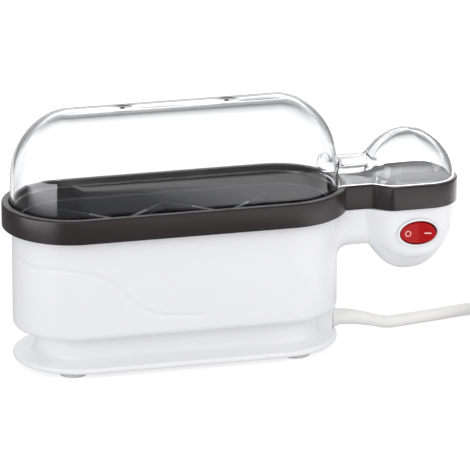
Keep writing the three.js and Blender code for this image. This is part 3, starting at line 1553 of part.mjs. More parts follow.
function plugPin(side) {
  const face = coilRoute.at(-1).y - GAP - PLUG_NECK_LENGTH - PLUG_BODY_LENGTH - GAP;
  const x = coilRoute.at(-1).x + (side * PLUG_PIN_SPACING) / 2;
  return rodAlongY(PLUG_PIN_RADIUS, face - PLUG_PIN_LENGTH, face, x, plugAxisZ, ROUND_SIDES / 2);
}

// Least distance between the skins of two stretches of the coil that aren't neighbours
function leastCoilGap() {
  let least = Infinity;
  const apart = COIL_STEPS_PER_TURN / 3;
  coilRoute.forEach((place, i) => {
    coilRoute.slice(Math.ceil(i + apart)).forEach((other, j, rest) => {
      const next = rest[Math.min(j + 1, rest.length - 1)];
      const line = new THREE.Line3(other, next);
      const nearest = line.closestPointToPoint(place, true, new THREE.Vector3());
      least = Math.min(least, nearest.distanceTo(place) - 2 * CORD_RADIUS);
    });
  });
  return least;
}

console.log("least gap in the coil " + leastCoilGap().toFixed(2));

const cooker = new THREE.Group();
cooker.position.x = -ORIGIN_X;

cooker.add(
  mesh("base_plate", whitePlastic, basePlate()),
  ...footPlaces().map(([name, x, y]) => footPiece(name, x, y)),
  ...screwPlaces().map(([x, y], i) => mesh("base_screw_" + (i + 1), steel, baseScrew(x, y))),
  mesh("body_shell", whitePlastic, bodyShell()),
  mesh("rim_frame", darkPlastic, rimFrame()),
  mesh("pan_seal", siliconeRed, panSeal()),
  mesh("heating_pan", coatedPan, heatingPan()),
  mesh("heating_element", steel, heatingElement()),
  mesh("element_pin_front", steel, elementPin(-1)),
  mesh("element_pin_rear", steel, elementPin(1)),
  mesh("element_clamp", steel, elementClamp()),
  mesh("clamp_nut_left", steel, clampNut(-STUD_X)),
  mesh("clamp_nut_right", steel, clampNut(STUD_X)),
  mesh("thermostat", blackPlastic, thermostat()),
  mesh("thermal_fuse", ceramic, thermalFuse()),
  mesh("earth_tab", brass, earthTab()),
  mesh("egg_carrier", carrierPlastic, eggCarrier()),
  mesh("lid", clearPlastic, clearLid()),
  mesh("switch_housing", whitePlastic, switchHousing()),
  mesh("switch_lamp", lampGlass, switchLamp()),
  ...bladePlaces().map((x, i) => mesh("switch_terminal_" + (i + 1), brass, switchBlade(x, i))),
  mesh("terminal_block", ceramic, terminalBlock()),
  ...[-1, 0, 1].map((side) => mesh("block_screw_" + (side + 2), brass, blockScrew(side))),
  mesh("cord_clamp", whitePlastic, cordClamp()),
  mesh("cord_clamp_screw_front", steel, clampScrew(-1)),
  mesh("cord_clamp_screw_rear", steel, clampScrew(1)),
  mesh("cord_tail", cordSkin, cordTail()),
  mesh("wire_supply", wireBrown, wire(supplyWireRoute)),
  mesh("wire_switched", wireBrown, wire(switchedWireRoute)),
  mesh("wire_fuse_link", wireWhite, wire(fuseLinkRoute)),
  mesh("wire_element", wireWhite, wire(elementWireRoute)),
  mesh("wire_neutral", wireBlue, wire(neutralWireRoute)),
  mesh("wire_lamp", wireBlue, wire(lampWireRoute)),
  mesh("wire_earth", wireGreen, wire(earthWireRoute)),
  mesh("cord_gland", greyRubber, cordGland()),
  mesh("cord_lead", cordSkin, freeCord()),
  mesh("cord_coil", cordSkin, cordCoil()),
  mesh("cord_tie", tieSkin, cordTie()),
  mesh("mains_plug", tieSkin, plugBody()),
  mesh("plug_pin_left", steel, plugPin(-1)),
  mesh("plug_pin_right", steel, plugPin(1)),
);

const rocker = mesh("switch_rocker", redPlastic, switchRocker());
rocker.position.set(SWITCH_X, ROCKER_PIVOT_Y, SWITCH_Z);
rocker.rotation.z = -radians(ROCKER_TILT_DEG);
cooker.add(rocker);

const lever = mesh("contact_lever", brass, contactLever());
lever.position.set(SWITCH_X, LEVER_PIVOT_Y, SWITCH_Z);
lever.rotation.z = radians(LEVER_TILT_DEG);
cooker.add(lever);

const part = new THREE.Group();
part.add(cooker);
export default part;
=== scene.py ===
"""Electric egg cooker: fine surfaces, finishes, cord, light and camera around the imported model.

The sizes of the pieces are in millimetres in the cooker's own frame: x runs from the middle of the
long body to the right, y from its middle to the rear and z up from the table.
"""

import logging
import math
from dataclasses import dataclass, field
from enum import Enum
from typing import Callable, Iterable, Sequence

import bpy
import bmesh
import numpy as np
from mathutils import Matrix, Vector


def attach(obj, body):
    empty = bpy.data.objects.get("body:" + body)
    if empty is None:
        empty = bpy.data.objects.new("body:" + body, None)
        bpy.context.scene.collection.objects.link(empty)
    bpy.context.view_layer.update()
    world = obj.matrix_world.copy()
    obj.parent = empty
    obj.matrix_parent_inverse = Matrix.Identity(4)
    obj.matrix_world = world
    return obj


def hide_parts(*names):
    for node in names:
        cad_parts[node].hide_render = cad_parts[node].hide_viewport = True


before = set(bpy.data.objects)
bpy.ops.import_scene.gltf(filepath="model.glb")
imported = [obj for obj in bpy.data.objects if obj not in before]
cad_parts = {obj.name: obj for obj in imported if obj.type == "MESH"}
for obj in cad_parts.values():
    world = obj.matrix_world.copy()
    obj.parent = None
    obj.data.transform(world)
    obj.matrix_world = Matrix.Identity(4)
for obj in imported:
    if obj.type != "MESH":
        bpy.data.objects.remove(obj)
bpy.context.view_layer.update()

log = logging.getLogger("egg_cooker")

MM = 0.001
ORIGIN_X = 31.75  # the row frame's origin along the cooker's own X, in millimetres
GAP = 0.3  # between pieces that touch, in millimetres
OVERRUN = 1.0  # how far a cutting solid runs past what it cuts, in millimetres
END_CENTRE = 59.0  # half distance between the end arcs of body, rim, pan and lid
END_STEPS = 40  # steps round each end arc
ARC_STEPS = 5  # steps round a small edge
SMOOTH_ANGLE = 32.0  # edges sharper than this many degrees stay crisp
HAIR = 0.01  # keeps two levels or faces just apart, in millimetres
MERGE = 1e-7  # points closer than this many metres become one
TINY = 1e-6  # keeps a divisor from being zero
CORD_RADIUS = 3.5
CORD_Z = 12.0  # height at which the cord leaves the base
OUTLET_END = 90.0  # where the base's cord outlet ends
SCREW_X = 40.0  # half distances between the screws that hold base and body together
SCREW_Y = 12.0
SCREW_RADIUS = 1.8
POST_RADIUS = 4.0
SWITCH_X = 134.8
SWITCH_Z = 66.0
PAD_Y = 21.6  # from the middle to the flat pad round the switch

Point = tuple[float, float, float]
Profile = Sequence[tuple[float, float]]
Ring = np.ndarray

MIDDLE: Point = (0.0, 0.0, 0.0)


class Cut(Enum):
    """How one solid changes another."""

    JOIN = "UNION"
    TAKE = "DIFFERENCE"


class Turn(Enum):
    """The line that a turned or straight piece is made along, by the number of its axis."""

    ALONG_X = 0
    ALONG_Y = 1
    ALONG_Z = 2

    def section(self, outline: np.ndarray, place: float, middle: Point = MIDDLE) -> Ring:
        """Lays a flat outline across the line.

        Args:
            outline: its points in the plane.
            place: where it lies along the line.
            middle: where the line starts.

        Returns:
            The ring's points.
        """
        columns = [outline[:, 0], outline[:, 1]]
        columns.insert(self.value, np.full(len(outline), place))
        return np.column_stack(columns) + np.array(middle)


def row(point: Iterable[float]) -> Vector:
    """Moves a point in the cooker's millimetres into the row frame in metres.

    Args:
        point: x, y and z in millimetres, with x from the middle of the long body.

    Returns:
        The same place in the row frame.
    """
    x, y, z = point
    return Vector(((x - ORIGIN_X) * MM, y * MM, z * MM))


def smoothstep(low: float, high: float, value: np.ndarray | float) -> np.ndarray:
    """Rises smoothly from 0 at low to 1 at high."""
    share = np.clip((np.asarray(value, float) - low) / (high - low), 0.0, 1.0)
    return share * share * (3.0 - 2.0 * share)


def arc(centre: tuple[float, float], radius: float, start: float, end: float,
        steps: int = ARC_STEPS) -> list[tuple[float, float]]:
    """Points round part of a circle.

    Args:
        centre: the circle's centre.
        radius: its radius.
        start: first angle in degrees.
        end: last angle in degrees.
        steps: how many steps lie between them.

    Returns:
        The points, both ends included.
    """
    angles = np.radians(np.linspace(start, end, steps + 1))
    return [(centre[0] + radius * math.cos(a), centre[1] + radius * math.sin(a)) for a in angles]


def circle(steps: int) -> np.ndarray:
    """Points evenly round a circle of radius 1 in the plane.

    Args:
        steps: how many points.

    Returns:
        The points.
    """
    angles = 2 * math.pi * np.arange(steps) / steps
    return np.column_stack((np.cos(angles), np.sin(angles)))


def stadium(radius: float, z: float, centre: float = END_CENTRE, side_steps: int = 12) -> Ring:
    """An outline of two half circles joined by straight sides.

    Args:
        radius: radius of the ends.
        z: its height.
        centre: half distance between the end arcs.
        side_steps: steps along each straight side.

    Returns:
        The ring's points.
    """
    points: list[Point] = []
    for side in (1, -1):
        for k in range(END_STEPS + 1):
            a = math.pi * k / END_STEPS - side * math.pi / 2
            points.append((side * centre + radius * math.cos(a), radius * math.sin(a), z))
        for k in range(1, side_steps):
            x = side * centre * (1 - 2 * k / side_steps)
            points.append((x, side * radius, z))
    return np.array(points)


def rounded(corners: Sequence[tuple[float, float, float]], steps: int = 8) -> np.ndarray:
    """An outline whose corners are rounded.

    Args:
        corners: x, y and corner radius of each corner, in order.
        steps: steps round each corner.

    Returns:
        The outline's points in the plane.
    """
    points: list[np.ndarray] = []
    for k, (x, y, radius) in enumerate(corners):
        here = np.array([x, y])
        before = here - np.array(corners[k - 1][:2])
        after = np.array(corners[(k + 1) % len(corners)][:2]) - here
        before /= np.linalg.norm(before)
        after /= np.linalg.norm(after)
        turn = math.atan2(before[0] * after[1] - before[1] * after[0], float(before @ after))
        if radius == 0 or abs(turn) < TINY:
            points.append(here)
            continue
        start = here - before * radius * math.tan(abs(turn) / 2)
        inward = np.array([-before[1], before[0]]) * math.copysign(radius, turn)
        centre = start + inward
        for j in range(steps + 1):
            a = turn * j / steps
            spin = np.array([[math.cos(a), -math.sin(a)], [math.sin(a), math.cos(a)]])
            points.append(centre + spin @ (start - centre))
    return np.array(points)


def box_outline(half_length: float, half_width: float, corner: float, steps: int = 8) -> np.ndarray:
    """A rounded rectangle about the origin.

    Args:
        half_length: half its length.
        half_width: half its width.
        corner: radius of its corners.
        steps: steps round each corner.

    Returns:
        Its points in the plane.
    """
    return rounded([
        (-half_length, -half_width, corner), (half_length, -half_width, corner),
        (half_length, half_width, corner), (-half_length, half_width, corner),
    ], steps)


def linked(name: str, data: bpy.types.ID) -> bpy.types.Object:
    """Makes an object of its data and links it to the scene.

    Args:
        name: the object's name.
        data: its mesh, curve, light or camera.

    Returns:
        The object.
    """
    made = bpy.data.objects.new(name, data)
    bpy.context.scene.collection.objects.link(made)
    return made


def to_object(name: str, points: np.ndarray, faces: list[list[int]]) -> bpy.types.Object:
    """Makes a mesh object from points in the cooker's millimetres.

    Args:
        name: the piece's name.
        points: its points.
        faces: each face's point numbers.

    Returns:
        The object, linked to the scene.
    """
    mesh = bpy.data.meshes.new(name)
    mesh.from_pydata([row(p) for p in points], [], faces)
    work = bmesh.new()
    work.from_mesh(mesh)
    bmesh.ops.remove_doubles(work, verts=work.verts, dist=MERGE)
    bmesh.ops.dissolve_degenerate(work, edges=work.edges, dist=MERGE)
    bmesh.ops.recalc_face_normals(work, faces=work.faces)
    work.to_mesh(mesh)
    work.free()
    piece = linked(name, mesh)
    smooth(piece)
    return piece


def smooth(piece: bpy.types.Object) -> None:
    """Shades a piece smoothly, with its sharper edges crisp.

    Args:
        piece: the piece.
    """
    piece.data.polygons.foreach_set("use_smooth", [True] * len(piece.data.polygons))
    piece.data.set_sharp_from_angle(angle=math.radians(SMOOTH_ANGLE))
    piece.data.update()


def skin(name: str, rings: Sequence[Ring], closed: bool = False) -> bpy.types.Object:
    """A closed solid through rings of equally many points.

    Args:
        name: the piece's name.
        rings: the rings in order.
        closed: whether the last ring joins the first, and not a cap at each end.

    Returns:
        The object.
    """
    count = len(rings[0])
    faces: list[list[int]] = []
    spans = len(rings) if closed else len(rings) - 1
    for i in range(spans):
        low, high = i * count, ((i + 1) % len(rings)) * count
        for j in range(count):
            k = (j + 1) % count
            faces.append([low + j, low + k, high + k, high + j])
    if not closed:
        last = (len(rings) - 1) * count
        faces.append(list(range(count))[::-1])
        faces.append([last + j for j in range(count)])
    return to_object(name, np.vstack(rings), faces)


def combine(piece: bpy.types.Object, tool: bpy.types.Object, how: Cut) -> bpy.types.Object:
    """Joins or cuts a piece with a tool, which is used up.

    Args:
        piece: the solid that changes.
        tool: the other solid.
        how: what happens.

    Returns:
        The piece.
    """
    change = piece.modifiers.new(how.value, "BOOLEAN")
    change.operation = how.value
    change.solver = "EXACT"
    change.object = tool
    graph = bpy.context.evaluated_depsgraph_get()
    made = bpy.data.meshes.new_from_object(piece.evaluated_get(graph))
    piece.modifiers.clear()
    before = piece.data
    piece.data = made
    bpy.data.meshes.remove(before)
    used = tool.data
    bpy.data.objects.remove(tool)
    bpy.data.meshes.remove(used)
    made.name = piece.name
    smooth(piece)
    return piece


def turned(name: str, profile: Profile, middle: Point, along: Turn = Turn.ALONG_Z, sides: int = 48,
           stretch: float = 0.0) -> bpy.types.Object:
    """A piece turned about a line, with round or oval sections.

    Args:
        name: the piece's name.
        profile: radius and place along the line, in order.
        middle: where the line starts.
        along: the line's direction.
        sides: points round each ring.
        stretch: how much longer than high an oval section is, added to the radius.

    Returns:
        The object.
    """
    unit = circle(sides)
    return skin(name, [along.section(unit * (radius + stretch, radius), place, middle)
                       for radius, place in profile])


def prism(name: str, outline: np.ndarray, levels: Sequence[float], along: Turn = Turn.ALONG_Z,
          middle: Point = MIDDLE) -> bpy.types.Object:
    """A straight piece with one outline.

    Args:
        name: the piece's name.
        outline: its points across the direction.
        levels: where its rings lie along the direction.
        along: the direction.
        middle: the outline's origin.

    Returns:
        The object.
    """
    return skin(name, [along.section(outline, level, middle) for level in levels])


def swept(name: str, path: np.ndarray, radii: Sequence[float], sides: int = 32) -> bpy.types.Object:
    """A round tube along a path.

    Args:
        name: the piece's name.
        path: its centre points in millimetres.
        radii: its radius at each point.
        sides: points round it.

    Returns:
        The object.
    """
    ahead = np.gradient(path, axis=0)
    ahead /= np.linalg.norm(ahead, axis=1)[:, None]
    across = np.cross(ahead[0], (0.0, 0.0, 1.0))
    across /= np.linalg.norm(across)
    rings = []
    unit = circle(sides)
    for place, forward, radius in zip(path, ahead, radii):
        across = across - forward * (across @ forward)
        across /= np.linalg.norm(across)
        over = np.cross(forward, across)
        rings.append(place + radius * (unit[:, :1] * across + unit[:, 1:] * over))
    return skin(name, rings)


def through(points: Sequence[Point], steps: int = 8) -> np.ndarray:
    """A smooth line through points, with each stretch paced by the root of its length.

    Args:
        points: the places that it passes.
        steps: steps between two of them.

    Returns:
        Points along the line, both ends included.
    """
    given = [np.array(p, float) for p in points]
    given = [2 * given[0] - given[1], *given, 2 * given[-1] - given[-2]]
    line: list[np.ndarray] = []
    for k in range(1, len(given) - 2):
        p = given[k - 1: k + 3]
        t = [0.0]
        for a, b in zip(p, p[1:]):
            t.append(t[-1] + max(float(np.linalg.norm(b - a)) ** 0.5, TINY))
        for j in range(steps):
            s = t[1] + (t[2] - t[1]) * j / steps
            a = [((t[i + 1] - s) * p[i] + (s - t[i]) * p[i + 1]) / (t[i + 1] - t[i]) for i in range(3)]
            b = [((t[i + 2] - s) * a[i] + (s - t[i]) * a[i + 1]) / (t[i + 2] - t[i]) for i in range(2)]
            line.append(((t[2] - s) * b[0] + (s - t[1]) * b[1]) / (t[2] - t[1]))
    line.append(given[-2])
    return np.array(line)


TONE_STOPS = (0.3, 0.7)  # where the colour's drift starts and ends on the noise
GRAIN_HEIGHT = 0.0002  # full height of the grain in metres
COOL = 1.01  # blue in the studio's greys as a share of their red


class Blend(Enum):
    """What is done with two greys."""

    SUM = "ADD"
    PRODUCT = "MULTIPLY"


def grey(tone: float) -> tuple[float, float, float, float]:
    """A neutral colour."""
    return tone, tone, tone, 1.0


@dataclass
class Shading:
    """The nodes of one material, or of the world, while they are put together."""

    tree: bpy.types.NodeTree

    @classmethod
    def of(cls, owner: bpy.types.Material | bpy.types.World) -> "Shading":
        """Starts a new material or world without nodes.

        Args:
            owner: the material or the world.

        Returns:
            Its empty node tree, ready for nodes.
        """
        owner.use_nodes = True
        owner.node_tree.nodes.clear()
        return cls(owner.node_tree)

    def node(self, kind: str, **values: object) -> bpy.types.Node:
        """Adds a node.

        Args:
            kind: its kind.
            values: values of its inputs, whose names have an underscore for each space.

        Returns:
            The node.
        """
        made = self.tree.nodes.new(kind)
        for name, value in values.items():
            made.inputs[name.replace("_", " ")].default_value = value
        return made

    def link(self, source: bpy.types.NodeSocket, target: bpy.types.NodeSocket) -> None:
        """Joins an output to an input."""
        self.tree.links.new(source, target)

    def noise(self, place: bpy.types.NodeSocket, scale: float, detail: float) -> bpy.types.NodeSocket:
        """Uneven values over the surface.

        Args:
            place: the piece's own coordinates.
            scale: features per metre.
            detail: how many finer layers it has.

        Returns:
            The value's socket.
        """
        noise = self.node("ShaderNodeTexNoise", Scale=scale, Detail=detail)
        self.link(place, noise.inputs["Vector"])
        return noise.outputs["Fac"]

    def by_ray(self, ray: str, others: bpy.types.NodeSocket,
               these: bpy.types.NodeSocket) -> bpy.types.NodeSocket:
        """Shows one shader to one kind of ray and another to the rest.

        Args:
            ray: the light path's output that names the kind.
            others: the shader for the other rays.
            these: the shader for these rays.

        Returns:
            The mixed shader's socket.
        """
        path = self.node("ShaderNodeLightPath")
        mix = self.node("ShaderNodeMixShader")
        self.link(path.outputs[ray], mix.inputs[0])
        self.link(others, mix.inputs[1])
        self.link(these, mix.inputs[2])
        return mix.outputs[0]

    def blended(self, how: Blend, first: bpy.types.NodeSocket,
                second: bpy.types.NodeSocket) -> bpy.types.NodeSocket:
        """Adds or multiplies two greys.

        Args:
            how: what is done with them.
            first: one grey.
            second: the other grey.

        Returns:
            The result's socket.
        """
        mix = self.node("ShaderNodeMixRGB", Fac=1.0)
        mix.blend_type = how.value
        self.link(first, mix.inputs["Color1"])
        self.link(second, mix.inputs["Color2"])
        return mix.outputs["Color"]

    def ramp(self, value: bpy.types.NodeSocket, stops: Profile) -> bpy.types.NodeSocket:
        """Turns a value into a grey, a trace bluer than neutral.

        Args:
            value: the value's socket.
            stops: values with their greys, in order.

        Returns:
            The colour's socket.
        """
        low, high = stops[0][0], stops[-1][0]
        spread = self.node("ShaderNodeMapRange", From_Min=low, From_Max=high)
        self.link(value, spread.inputs["Value"])
        ramp = self.node("ShaderNodeValToRGB")
        while len(ramp.color_ramp.elements) < len(stops):
            ramp.color_ramp.elements.new(0.5)
        for element, (at, tone) in zip(ramp.color_ramp.elements, stops):
            element.position = (at - low) / (high - low)
            element.color = (tone, tone, tone * COOL, 1.0)
        self.link(spread.outputs["Result"], ramp.inputs["Fac"])
        return ramp.outputs["Color"]

    def along(self, place: bpy.types.NodeSocket, direction: Point,
              stops: Profile) -> bpy.types.NodeSocket:
        """Greys that change along a direction.

        Args:
            place: the place or the ray's direction.
            direction: the direction, of length 1.
            stops: distances along it with their greys, in order.

        Returns:
            The colour's socket.
        """
        dot = self.node("ShaderNodeVectorMath")
        dot.operation = "DOT_PRODUCT"
        dot.inputs[1].default_value = direction
        self.link(place, dot.inputs[0])
        return self.ramp(dot.outputs["Value"], stops)

    def apart(self, place: bpy.types.NodeSocket, middle: Point, stops: Profile) -> bpy.types.NodeSocket:
        """Greys that change with the distance from a point.

        Args:
            place: the place on the floor.
            middle: the point.
            stops: distances with their greys, in order.

        Returns:
            The colour's socket.
        """
        away = self.node("ShaderNodeVectorMath")
        away.operation = "DISTANCE"
        away.inputs[1].default_value = middle
        self.link(place, away.inputs[0])
        return self.ramp(away.outputs["Value"], stops)


@dataclass(frozen=True)
class Finish:
    """A surface with its colour, its fine unevenness and its gloss."""

    name: str
    slot: str
    colour: tuple[float, float, float]
    roughness: float = 0.4
    metallic: float = 0.0
    tone_change: float = 0.03
    tone_scale: float = 30.0
    gloss_change: float = 0.05
    grain_scale: float = 2500.0
    grain_depth: float = 0.02
    specular: float = 0.5
    ior: float = 1.5
    transmission: float = 0.0
    stretch: Point = (1.0, 1.0, 1.0)

    def build(self) -> bpy.types.Material:
        """Makes the node material.

        Returns:
            The material.
        """
        material = bpy.data.materials.new(self.name)
        shading = Shading.of(material)
        output = shading.node("ShaderNodeOutputMaterial")
        shader = shading.node("ShaderNodeBsdfPrincipled", Metallic=self.metallic, IOR=self.ior,
                              Specular_IOR_Level=self.specular, Transmission_Weight=self.transmission)
        shading.link(shader.outputs["BSDF"], output.inputs["Surface"])
        fit = shading.node("ShaderNodeMapping", Scale=self.stretch)
        shading.link(shading.node("ShaderNodeTexCoord").outputs["Object"], fit.inputs["Vector"])
        place = fit.outputs["Vector"]
        shading.link(self._colour(shading, place), shader.inputs["Base Color"])
        shading.link(self._gloss(shading, place), shader.inputs["Roughness"])
        shading.link(self._grain(shading, place), shader.inputs["Normal"])
        return material

    def _colour(self, shading: Shading, place: bpy.types.NodeSocket) -> bpy.types.NodeSocket:
        """Lets the colour drift a little over the surface.

        Args:
            shading: the material's nodes.
            place: the piece's own coordinates.

        Returns:
            The colour's socket.
        """
        ramp = shading.node("ShaderNodeValToRGB")
        for element, at, side in zip(ramp.color_ramp.elements, TONE_STOPS, (-1, 1)):
            shades = [min(1.0, max(0.0, c * (1 + side * self.tone_change))) for c in self.colour]
            element.position = at
            element.color = (*shades, 1.0)
        shading.link(shading.noise(place, self.tone_scale, 3.0), ramp.inputs["Fac"])
        return ramp.outputs["Color"]

    def _gloss(self, shading: Shading, place: bpy.types.NodeSocket) -> bpy.types.NodeSocket:
        """Lets the roughness drift a little over the surface.

        Args:
            shading: the material's nodes.
            place: the piece's own coordinates.

        Returns:
            The roughness's socket.
        """
        spread = shading.node("ShaderNodeMapRange", To_Min=max(0.0, self.roughness - self.gloss_change),
                              To_Max=min(1.0, self.roughness + self.gloss_change))
        shading.link(shading.noise(place, self.tone_scale * 2.0, 2.0), spread.inputs["Value"])
        return spread.outputs["Result"]

    def _grain(self, shading: Shading, place: bpy.types.NodeSocket) -> bpy.types.NodeSocket:
        """Adds the mould's fine grain as a bump.

        Args:
            shading: the material's nodes.
            place: the piece's own coordinates.

        Returns:
            The normal's socket.
        """
        bump = shading.node("ShaderNodeBump", Strength=self.grain_depth, Distance=GRAIN_HEIGHT)
        shading.link(shading.noise(place, self.grain_scale, 2.0), bump.inputs["Height"])
        return bump.outputs["Normal"]


WHITE_PLASTIC = Finish("white_moulding", "white_plastic", (0.83, 0.832, 0.858), 0.34, tone_change=0.002,
                       tone_scale=8.0, gloss_change=0.02, specular=0.35)
BASE_PLASTIC = Finish("white_base_moulding", "white_plastic", (0.88, 0.882, 0.9), 0.36, tone_change=0.002,
                      tone_scale=8.0, gloss_change=0.02)
DARK_PLASTIC = Finish("dark_rim_moulding", "dark_plastic", (0.0245, 0.019, 0.0196), 0.32,
                      tone_change=0.08, grain_depth=0.05, specular=0.32)
# The deck's top faces: the rim's plastic polished, with a lighter grey that is a painted sheen of reflected
# light
DECK_PAINTED_SHEEN = Finish("polished_deck_painted_sheen", "dark_plastic", (0.12, 0.12, 0.127), 0.12, tone_change=0.05,
                  grain_depth=0.01, specular=0.9)
CARRIER_PLASTIC = Finish("dark_carrier_moulding", "carrier_plastic", (0.04, 0.041, 0.05), 0.2,
                         tone_change=0.05, grain_depth=0.004, specular=0.4)
PAN_COATING = Finish("pan_coating", "coated_pan", (0.014, 0.014, 0.02), 0.4, tone_change=0.05,
                     tone_scale=600.0, grain_scale=900.0, grain_depth=0.006, specular=0.2)
# Lighter grey for the middle of the ribs' upper faces: a painted highlight on the dark carrier plastic
RIB_PAINTED_HIGHLIGHT = Finish("rib_top", "carrier_plastic", (0.24, 0.242, 0.26), 0.3, tone_change=0.05)
CLEAR_PLASTIC = Finish("clear_moulding", "clear_plastic", (0.985, 0.988, 0.99), 0.012, ior=1.47,
                       transmission=1.0, tone_change=0.003, gloss_change=0.006, grain_scale=60.0,
                       grain_depth=0.002, specular=0.75)
RED_PLASTIC = Finish("red_rocker", "red_plastic", (0.42, 0.004, 0.006), 0.25, tone_change=0.05,
                     specular=0.15)
# Dark maroon painted shade for the inside of the switch's sleeve, whose moulding is white
SWITCH_WELL_PAINTED_SHADE = Finish("switch_well_painted_shade", "white_plastic", (0.05, 0.004, 0.005), 0.5, tone_change=0.1)
MARK_PAINT = Finish("pale_marks", "red_plastic", (0.9, 0.5, 0.5), 0.4, tone_change=0.02)
FOOT_RUBBER = Finish("foot_rubber", "foot_rubber", (0.7, 0.7, 0.69), 0.65, grain_depth=0.15)
SEAL_RUBBER = Finish("seal_rubber", "seal_rubber", (0.5, 0.14, 0.1), 0.6, grain_depth=0.1)
BRIGHT_STEEL = Finish("bright_steel", "steel", (0.62, 0.62, 0.64), 0.24, metallic=1.0, tone_change=0.05,
                      tone_scale=120.0, grain_scale=900.0, grain_depth=0.06, stretch=(1.0, 0.08, 1.0))
BARE_BRASS = Finish("bare_brass", "brass", (0.72, 0.56, 0.26), 0.3, metallic=1.0, tone_change=0.08,
                    tone_scale=200.0)
CERAMIC = Finish("ceramic", "ceramic", (0.8, 0.77, 0.69), 0.55, tone_change=0.04, grain_depth=0.1)
LAMP_GLASS = Finish("lamp_glass", "lamp_glass", (0.95, 0.6, 0.4), 0.05, transmission=0.8, grain_depth=0.01)
BLACK_PLASTIC = Finish("black_phenolic", "black_plastic", (0.02, 0.02, 0.021), 0.45, grain_depth=0.1)
CORD_SHEATH = Finish("cord_sheath", "cord_sheath", (0.86, 0.855, 0.835), 0.42, tone_change=0.025,
                     tone_scale=60.0, grain_scale=1400.0, grain_depth=0.06)
TIE_PLASTIC = Finish("tie_band", "tie_plastic", (0.85, 0.85, 0.84), 0.4)
PLUG_PLASTIC = Finish("plug_moulding", "plug_plastic", (0.8, 0.8, 0.79), 0.4, grain_depth=0.08)
WIRE_BROWN = Finish("brown_wire", "wire_brown", (0.2, 0.08, 0.03), 0.45)
WIRE_BLUE = Finish("blue_wire", "wire_blue", (0.04, 0.14, 0.45), 0.45)
WIRE_WHITE = Finish("sleeved_wire", "wire_white", (0.75, 0.73, 0.68), 0.7, grain_depth=0.2)
WIRE_GREEN = Finish("earth_wire", "wire_green", (0.2, 0.4, 0.06), 0.45)

MADE: dict[str, bpy.types.Material] = {}


def material_of(finish: Finish) -> bpy.types.Material:
    """The finish's material, made once.

    Args:
        finish: the finish.

    Returns:
        Its material.
    """
    if finish.name not in MADE:
        MADE[finish.name] = finish.build()
    return MADE[finish.name]


def dress(piece: bpy.types.Object, finish: Finish) -> None:
    """Puts one finish on a piece.

    Args:
        piece: the piece.
        finish: its finish.
    """
    piece.data.materials.clear()
    piece.data.materials.append(material_of(finish))


def dress_part(piece: bpy.types.Object, finish: Finish,
               chosen: Callable[[bpy.types.MeshPolygon], bool]) -> None:
    """Puts a second finish on some of a piece's faces.

    Args:
        piece: the piece, dressed already.
        finish: the finish for these faces.
        chosen: says whether a face gets it.
    """
    piece.data.materials.append(material_of(finish))
    last = len(piece.data.materials) - 1
    for face in piece.data.polygons:
        if chosen(face):
            face.material_index = last


def add(piece: bpy.types.Object, body: str, finish: Finish, *nodes: str) -> bpy.types.Object:
    """Dresses a new piece and ties it to the frame.

    Args:
        piece: the piece, in place.
        body: the body that it rides on.
        finish: its finish.
        nodes: the frame's nodes that it stands for.

    Returns:
        The piece.
    """
    dress(piece, finish)
    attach(piece, body)
    if nodes:
        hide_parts(*nodes)
    log.info("%s on %s, %d faces", piece.name, body, len(piece.data.polygons))
    return piece


@dataclass
class Viewpoint:
    """The camera, a long way off and slightly to the left, looking down.

    Its sizes are in millimetres, its angles in degrees and its clip distances in metres.
    """

    azimuth: float = -14.12
    elevation: float = 18.75
    distance: float = 3000.0
    lens: float = 408.24
    across: float = 33.43
    up: float = 64.76
    sensor: float = 36.0
    nearest: float = 0.1
    farthest: float = 20.0

    def build(self) -> bpy.types.Object:
        """Makes the camera.

        Returns:
            The camera object.
        """
        azimuth, elevation = math.radians(self.azimuth), math.radians(self.elevation)
        right = Vector((math.cos(azimuth), math.sin(azimuth), 0.0))
        back = Vector((
            math.sin(azimuth) * math.cos(elevation),
            -math.cos(azimuth) * math.cos(elevation),
            math.sin(elevation),
        ))
        upward = back.cross(right)
        place = row(right * self.across + upward * self.up + back * self.distance)
        data = bpy.data.cameras.new("camera")
        data.lens = self.lens
        data.sensor_width = self.sensor
        data.clip_start = self.nearest
        data.clip_end = self.farthest
        camera = linked("camera", data)
        turn = Matrix((right, upward, back)).transposed().to_4x4()
        camera.matrix_world = Matrix.Translation(place) @ turn
        bpy.context.scene.camera = camera
        log.info("camera at %s", tuple(round(v, 3) for v in place))
        return camera


